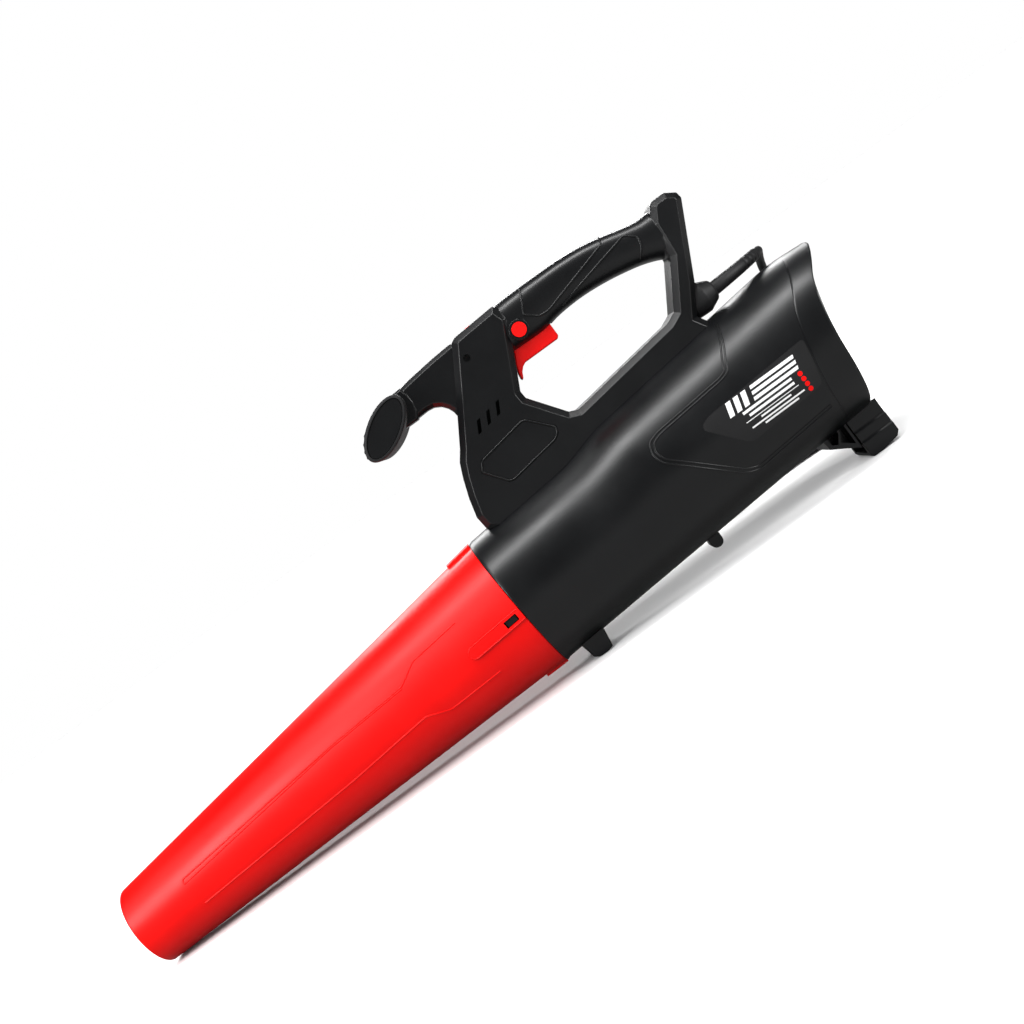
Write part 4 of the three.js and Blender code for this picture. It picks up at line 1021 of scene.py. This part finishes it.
blade = bladed("blade", [(r, 0.95 - 0.4 * ((r - BLADE_ROOT) / 40) ** 0.9)
                         for r in np.linspace(BLADE_ROOT, BLADE_TIP, 12)])
round_about(blade, 9, duct(HUB_FRONT, 0, MOTOR_V), grey)
hub = lathe("hub", [(HUB_FRONT, 4.2), (HUB_FRONT, 39.4), (296.6, 40), (302, 38.6), (308, 36), (314, 30.5),
                    (320, 22), (324, 16), (326, 12), (326, 4.2)], MOTOR_V, 72)
fan = joined([blade, hub], "fan_moulding")
fit(soften(fan, 0), "rotor", "grey_plastic", grey, "fan")
nut = lathe("fan_nut_steel", [(326.4, 4.2), (326.4, 7.4), (327, 8), (331.4, 8), (332, 7.4), (332, 4.2)],
            MOTOR_V, 6)
fit(soften(nut, 0.0003, 2), "rotor", "steel", steel, "fan_nut")
nose = lathe("motor_nose_moulding", [(148, 0.01), (148.6, 3.4), (150, 8), (153, 14), (157, 20), (163, 26.6),
                                     (170, 32.5), (178, 37.6), (187.6, 41.5), (187.6, 39.3), (178, 35.2),
                                     (171, 30), (164, 23.6), (158.5, 17), (154.5, 9), (153, 0.01)], MOTOR_V,
             72)
fit(soften(nose, 0), "housing", "grey_plastic", grey, "motor_nose_cone")
dress({"motor_pod": grey, "motor_stator": steel, "front_bearing": steel, "rear_bearing": steel,
       "motor_shaft": steel, "armature": copper, "commutator": copper, "brush_holder_left": brass,
       "brush_holder_right": brass, "carbon_brush_left": carbon, "carbon_brush_right": carbon})

# ---------------------------------------------------------------- handle
# Two half shells in the same satin black plastic with broad bevels all round, an inset panel,
# three slanted vents, a bezel for the lock button and a rounded grip.
HANDLE_OUTLINE = [
    (478, 136), (476.5, 147.5), (470, 153.5), (468.5, 168), (473, 186), (479.5, 204.5), (485.5, 218),
    (493, 228), (507, 250.5), (544.5, 311.5), (549, 313.5), (594, 316.5), (600, 300), (584, 267.5),
    (569, 238), (569.5, 230.5), (594, 197), (602.5, 193.5), (714, 209), (725, 214), (752, 257),
    (755, 290), (764.5, 305.5), (769, 308), (782, 308), (792, 301.5), (793, 295), (757, 224.5),
    (740.5, 198), (747, 187.5), (746, 176)]
INSERT_OUTLINE = [(495.5, 199), (502, 208.5), (553.5, 217), (558, 215), (577, 194), (575, 187), (569, 183),
                  (517, 175.5), (512, 177)]
HANDLE_HALF, HANDLE_BEVEL, HANDLE_WALL = 23.0, 6.0, 3.0
BUTTON_X, BUTTON_Z, GLAND_Z = 601, 284.5, 209.5


def inset(points, distance):
    """A closed outline moved inwards with mitred corners."""
    n = len(points)
    area = sum(points[i - 1][0] * points[i][1] - points[i][0] * points[i - 1][1] for i in range(n))
    sign = 1 if area > 0 else -1
    line = []
    for i in range(n):
        p, q, r = Vector(points[i - 1]), Vector(points[i]), Vector(points[(i + 1) % n])
        a, b = (q - p).normalized(), (r - q).normalized()
        m, k = Vector((-a.y, a.x)) * sign, Vector((-b.y, b.x)) * sign
        line.append(tuple(q + (m + k) / (1 + m.dot(k)) * distance))
    return line


def bevelled_plate(name, outline, half, bevel, thin=0.0):
    """A plate from -half to half with a broad flat bevel on both faces."""
    rings = [(-half, bevel + thin), (-half + bevel, thin), (half - bevel, thin), (half, bevel + thin)]
    return loft(name, [[at(x, y, z) for x, z in inset(outline, inward)] for y, inward in rings])


GRIP = [(582, 271, 315.5, 21), (600, 270.5, 317, 20.5), (622, 270.5, 317.5, 19.5), (640, 273.8, 317.5, 19),
        (665, 275.3, 317, 18.8), (690, 273.8, 315, 18.8), (712, 270.5, 311, 19), (732, 266, 306, 19.8),
        (748, 260, 303, 21), (762, 252, 303.5, 21.5)]
grip_table = np.array(GRIP)


def grip_solid(name, grow=0.0, sides=64):
    """The round grip as a loft of squarish ovals."""
    smooth = np.array(smooth_line(GRIP, 8))
    rings = []
    for x in np.linspace(GRIP[0][0], GRIP[-1][0], 46):
        low, high, half = (float(np.interp(x, smooth[:, 0], smooth[:, k])) for k in (1, 2, 3))
        middle, deep, ring = (low + high) / 2, (high - low) / 2, []
        for i in range(sides):
            c, d = math.cos(2 * math.pi * i / sides), math.sin(2 * math.pi * i / sides)
            ring.append(at(x, math.copysign(abs(c) ** 0.8, c) * (half + grow),
                           middle + math.copysign(abs(d) ** 0.8, d) * (deep + grow)))
        rings.append(ring)
    return loft(name, rings)


def lengthwise(z):
    """Places a bar's own axis along the blower at height z."""
    return lambda a, y, b: at(y, a, z + b)


HANDLE_SCREWS = [(547, 291.5, -HEAD_DEPTH), (488, 176, HEAD_DEPTH), (590, 183, HEAD_DEPTH),
                 (700, 195, HEAD_DEPTH), (778, 294, HEAD_DEPTH)]
slab = soften(bevelled_plate("slab", HANDLE_OUTLINE, HANDLE_HALF, HANDLE_BEVEL), 0.0008, 3, 12)
handle = boolean(slab, [grip_solid("grip")], "UNION")
cavity = boolean(bevelled_plate("cavity", HANDLE_OUTLINE, HANDLE_HALF - HANDLE_WALL, 3.0, HANDLE_WALL),
                 [grip_solid("hollow", -HANDLE_WALL, 32)], "UNION")
handle = boolean(handle, [cavity])
bezel = soften(round_bar("bezel", BUTTON_X, BUTTON_Z, 9.6, -22.3, -17, at, 48), 0.0006, 3)
handle = boolean(handle, [bezel], "UNION")
groove = boolean(plate("groove", INSERT_OUTLINE, -30, 30),
                 [plate("panel", inset(INSERT_OUTLINE, 2.6), -31, 31),
                  block("web", 400, 900, -22.1, 22.1, 0, 400, at)])
cuts = [groove, round_bar("button_hole", BUTTON_X, BUTTON_Z, 7.3, -60, -10, at, 48)]
for i in range(3):
    x, z = 516.6 + i * 11.8, 229 + i * 1.8
    vent = [(x - 2, z - 0.5), (x + 2, z), (x + 8.2, z + 11.5), (x + 4.2, z + 11)]
    cuts.append(plate("vent", rounded(vent, 0.8, True)[:-1], -60, -5))
for x, z, head_at in HANDLE_SCREWS:
    cuts.append(round_bar("screw_well", x, z, WELL_R, *sorted((head_at, math.copysign(60, head_at))), at))
cuts += [plate("trigger_slot", [(569, 236), (586, 262), (631, 262), (631, 280), (584, 280), (575, 262),
                                (565, 240)], -7.5, 7.5),
         block("dial_slot", 562.2, 568.4, -11, 11, 300, 330, at),
         block("tongue_slot", 500, 554, -8.4, 8.4, 282.6, 296.4, at),
         round_bar("gland_hole", 0, 0, 7.6, 730, 770, lengthwise(GLAND_Z), 32), body_core("core", 0.3)]
handle = soften(boolean(handle, cuts), 0)
for side, name in ((-1, "left"), (1, "right")):
    half = boolean(copy_of(handle, f"handle_half_{name}"), [
        block("side", 300, 1000, *sorted((side * 0.12, side * 90)), 0, 500, at)], "INTERSECT")
    fit(soften(half, 0), "housing", "black_plastic", black, f"handle_shell_{name}")
bpy.data.objects.remove(handle)
panel_rim = chains("insert_panel_rims", [
    [at(x, side * 22.25, z) for x, z in rounded(inset(INSERT_OUTLINE, 1.3), 2.5, True)] for side in (-1, 1)])
use_tree(panel_rim, beads, Radius=0.001, Finish=black)
fit(panel_rim, "housing", "black_plastic", black)
screw_bosses = []
for x, z, head_at in HANDLE_SCREWS:
    way = math.copysign(1, head_at)
    for side in (-1, 1):
        boss = round_bar("boss", x, z, 4.4, *sorted((side * 0.2, side * 20.5)), at)
        well = round_bar("well", x, z, WELL_R, *sorted((head_at, way * 40)), at)
        path = round_bar("path", x, z, THREAD_R, *sorted((-way * 14, way * 10)), at)
        screw_bosses.append(boolean(boss, [well, path]))
fit(soften(joined(screw_bosses, "handle_screw_bosses"), 0), "housing", "black_plastic", black)


def on_grip(x, z, side, proud=0.0):
    """The point of the grip's side at a standing x, z."""
    low, high, half = (float(np.interp(x, grip_table[:, 0], grip_table[:, k])) for k in (1, 2, 3))
    t = min(0.995, abs(z - (low + high) / 2) / ((high - low) / 2))
    return at(x, side * ((half * max(0.0, 1 - t ** 2.5) ** 0.4) + proud), z)


GRIP_LINES = [
    [(624, 314.5), (613, 294.5), (613, 292.5), (624, 283.5), (634, 283), (708, 303.5), (711, 310)],
    [(647, 279.5), (729, 298), (738.5, 289.5), (736.5, 280.5), (730, 271.5)]]
grip_lines = chains("grip_inlay_lines", [
    [on_grip(x, z, side, -0.25) for x, z in along(rounded(line, 3), 2)] for line in GRIP_LINES
    for side in (-1, 1)])
use_tree(grip_lines, beads, Radius=0.0011, Finish=black)
fit(grip_lines, "housing", "black_plastic", black)

# ---------------------------------------------------------------- front arm and cross handle
# A moulded arm slides between the handle's halves and carries an oval bar across the front,
# covered in soft rubber with finger ridges and closed by an inset cap at each end.
ARM = [(478, 273.5), (478, 304.8), (493, 307.2), (520.5, 310.2), (541, 311.6), (556, 308), (556, 290),
       (540, 262), (528, 252), (509.4, 252.5), (508.8, 259), (506.5, 264.5), (502.5, 269.5), (496.5, 273),
       (490, 274)]
COLLAR = [(462, 272.5), (462, 304.4), (481, 305.6), (484.5, 297), (485, 288), (482.5, 279), (478.5, 272.5)]
arm = soften(bevelled_plate("front_arm_moulding", ARM, 17, 4), 0.0007, 3, 12)
arm = boolean(arm, [soften(bevelled_plate("collar", COLLAR, 18, 2), 0.0005, 2, 12)], "UNION")
fit(soften(arm, 0), "housing", "black_plastic", black, "front_arm")
BAR_A, BAR_B, BAR_LEAN, BAR_X, BAR_Z = 31.6, 15.8, math.radians(33), 450.4, 282.0


def oval(grow, sides=96, ridges=0.0):
    """The bar's oval outline, with finger ridges over part of its front."""
    ring = []
    for i in range(sides):
        a = 2 * math.pi * i / sides
        bump = ridges * max(0.0, math.sin((a - 1.9) * 22)) if 1.9 < a < 2.9 else 0.0
        p, q = (BAR_A + grow + bump) * math.cos(a), (BAR_B + grow + bump) * math.sin(a)
        ring.append((BAR_X + p * math.cos(BAR_LEAN) - q * math.sin(BAR_LEAN),
                     BAR_Z + p * math.sin(BAR_LEAN) + q * math.cos(BAR_LEAN)))
    return ring


bar_end = [(-58.4, -3.0, 0.0), (-61.9, -3.0, 0.0), (-62, -2.2, 0.0), (-61.6, -1.0, 0.0), (-60.6, -0.3, 0.0),
           (-59, 0, 0.6)]
bar_rings = bar_end + [(y, 0.0, 0.6) for y in (-40, -10, 10, 40)] + [(-y, g, r)
                                                                     for y, g, r in reversed(bar_end)]
cross = loft("cross_handle_sleeve", [[at(x, y, z) for x, z in oval(g, 192, r)] for y, g, r in bar_rings])
screw_path = round_bar("screw_path", 0, 0, 2.2, 440, 560, lengthwise(288))
cross = boolean(cross, [screw_path])
fit(soften(cross, 0), "housing", "black_rubber", rubber, "cross_handle")
for side, name in ((-1, "left"), (1, "right")):
    y0, y1 = sorted((side * 58.5, side * 61.3))
    cap = soften(plate(f"cross_handle_cap_{name}_disc", oval(-3.3), y0, y1), 0.0006, 3)
    fit(cap, "housing", "black_plastic", black, f"cross_handle_cap_{name}")

# ---------------------------------------------------------------- controls
# A red trigger on a steel pin, a red lock button beside it and a red speed wheel in the top of
# the handle; behind them the switch, the speed control's board and a suppressor.
trigger = soften(from_cad("trigger_moulding", "trigger"), 0.0007, 3, 25)
fit(trigger, "trigger", "red_plastic", red, "trigger")
button = soften(from_cad("lock_button_moulding", "lock_button"), 0.0005, 3, 40)
fit(button, "lock_button", "red_plastic", red, "lock_button")
DIAL_X, DIAL_Z, DIAL_TEETH = 565.3, 303.9, 22


def level(z):
    """Places a turned part's own axis along the blower at height z."""
    return lambda u, y, v: at(u, y, z + v)


tooth = block("tooth", DIAL_X - 2.8, DIAL_X + 2.8, -0.85, 0.85, 10.6, 11.95, level(DIAL_Z))
round_about(soften(tooth, 0.0003, 2), DIAL_TEETH, at(DIAL_X, 0, DIAL_Z), red, (1, 0, 0))
wheel = lathe("wheel",
              [(562.5, 0.01), (562.5, 10.9), (562.9, 11.3), (567.7, 11.3), (568.1, 10.9), (568.1, 0.01)], 0,
              72, level(DIAL_Z))
axle = lathe("axle", [(555, 0.01), (555, 2.1), (555.3, 2.4), (564, 2.4), (564, 0.01)], 0, 24, level(DIAL_Z))
dial = joined([tooth, wheel, axle], "speed_dial_wheel")
fit(soften(dial, 0), "dial", "red_plastic", red, "speed_dial")
board_green = surface("solder_masked_board", (0.02, 0.09, 0.03), (0.03, 0.13, 0.05), 0.35, 300.0, 0.00004,
                      0.3)
SPRING_X, SPRING_R, SPRING_FOOT, SPRING_RISE, SPRING_TURN = 596, 2.6, 281.25, 6.9, 6 * math.pi
coil = chains("trigger_spring_wire", [
    [at(SPRING_X + SPRING_R * math.cos(a), SPRING_R * math.sin(a),
        SPRING_FOOT + SPRING_RISE * a / SPRING_TURN)
     for a in np.linspace(0, SPRING_TURN, 97)]])
use_tree(coil, beads, Radius=0.00045, Finish=steel)
fit(coil, "housing", "steel", steel, "trigger_spring")
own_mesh(coil)
dress({"trigger_pin": steel, "switch_body": black, "dial_potentiometer": steel, "control_board": board_green,
       "suppressor_capacitor": grey, "cross_handle_bolt": steel})

# ---------------------------------------------------------------- bend sleeve
# The rubber gland seats in the handle's rear foot; its sleeve guides the lead away on an easy
# curve and is notched towards its end so that it bends evenly.
gland = boolean(
    lathe("gland", [(742, 0.01), (742, 7.2), (742.6, 13.6), (743.4, 14.6), (745, 15.3), (751, 15.6),
                    (758.4, 15.7), (759.6, 15.2), (768.6, 10.9), (769.8, 10.2), (771, 8.8), (771.4, 7),
                    (771.4, 0.01)], 0, 64,
          level(GLAND_Z)),
    [round_bar("neck_path", 0, 0, 7.7, 730, 743, lengthwise(GLAND_Z), 32)])
bend, BEND_STEPS = [], 60
for k in range(BEND_STEPS + 1):
    t = k / BEND_STEPS
    angle = t * BEND_TURN
    centre = at(771 + BEND_RADIUS * math.sin(angle), BEND_RADIUS * (1 - math.cos(angle)), GLAND_Z + 3 * t)
    out = Vector((math.sin(angle), -math.cos(angle), 0))
    notch = 0.45 if t > 0.55 and k % 6 in (0, 1) else 0.0
    radius = (7 - 1.2 * t - notch - (0.8 if k == BEND_STEPS else 0)) / 1000
    bend.append([centre + radius * (math.cos(a) * Vector((0, 0, 1)) + math.sin(a) * -out)
                 for a in np.linspace(0, 2 * math.pi, 33)[:-1]])
sleeve = loft("sleeve", bend)
neck = lathe("neck", [(733.5, 0.01), (733.5, 9.5), (736.5, 9.5), (736.5, 7.2), (760, 7.2), (760, 0.01)], 0,
             48, level(GLAND_Z))
relief = joined([gland, sleeve, neck], "bend_sleeve_rubber")
fit(soften(relief, 0), "housing", "black_rubber", rubber, "strain_relief")
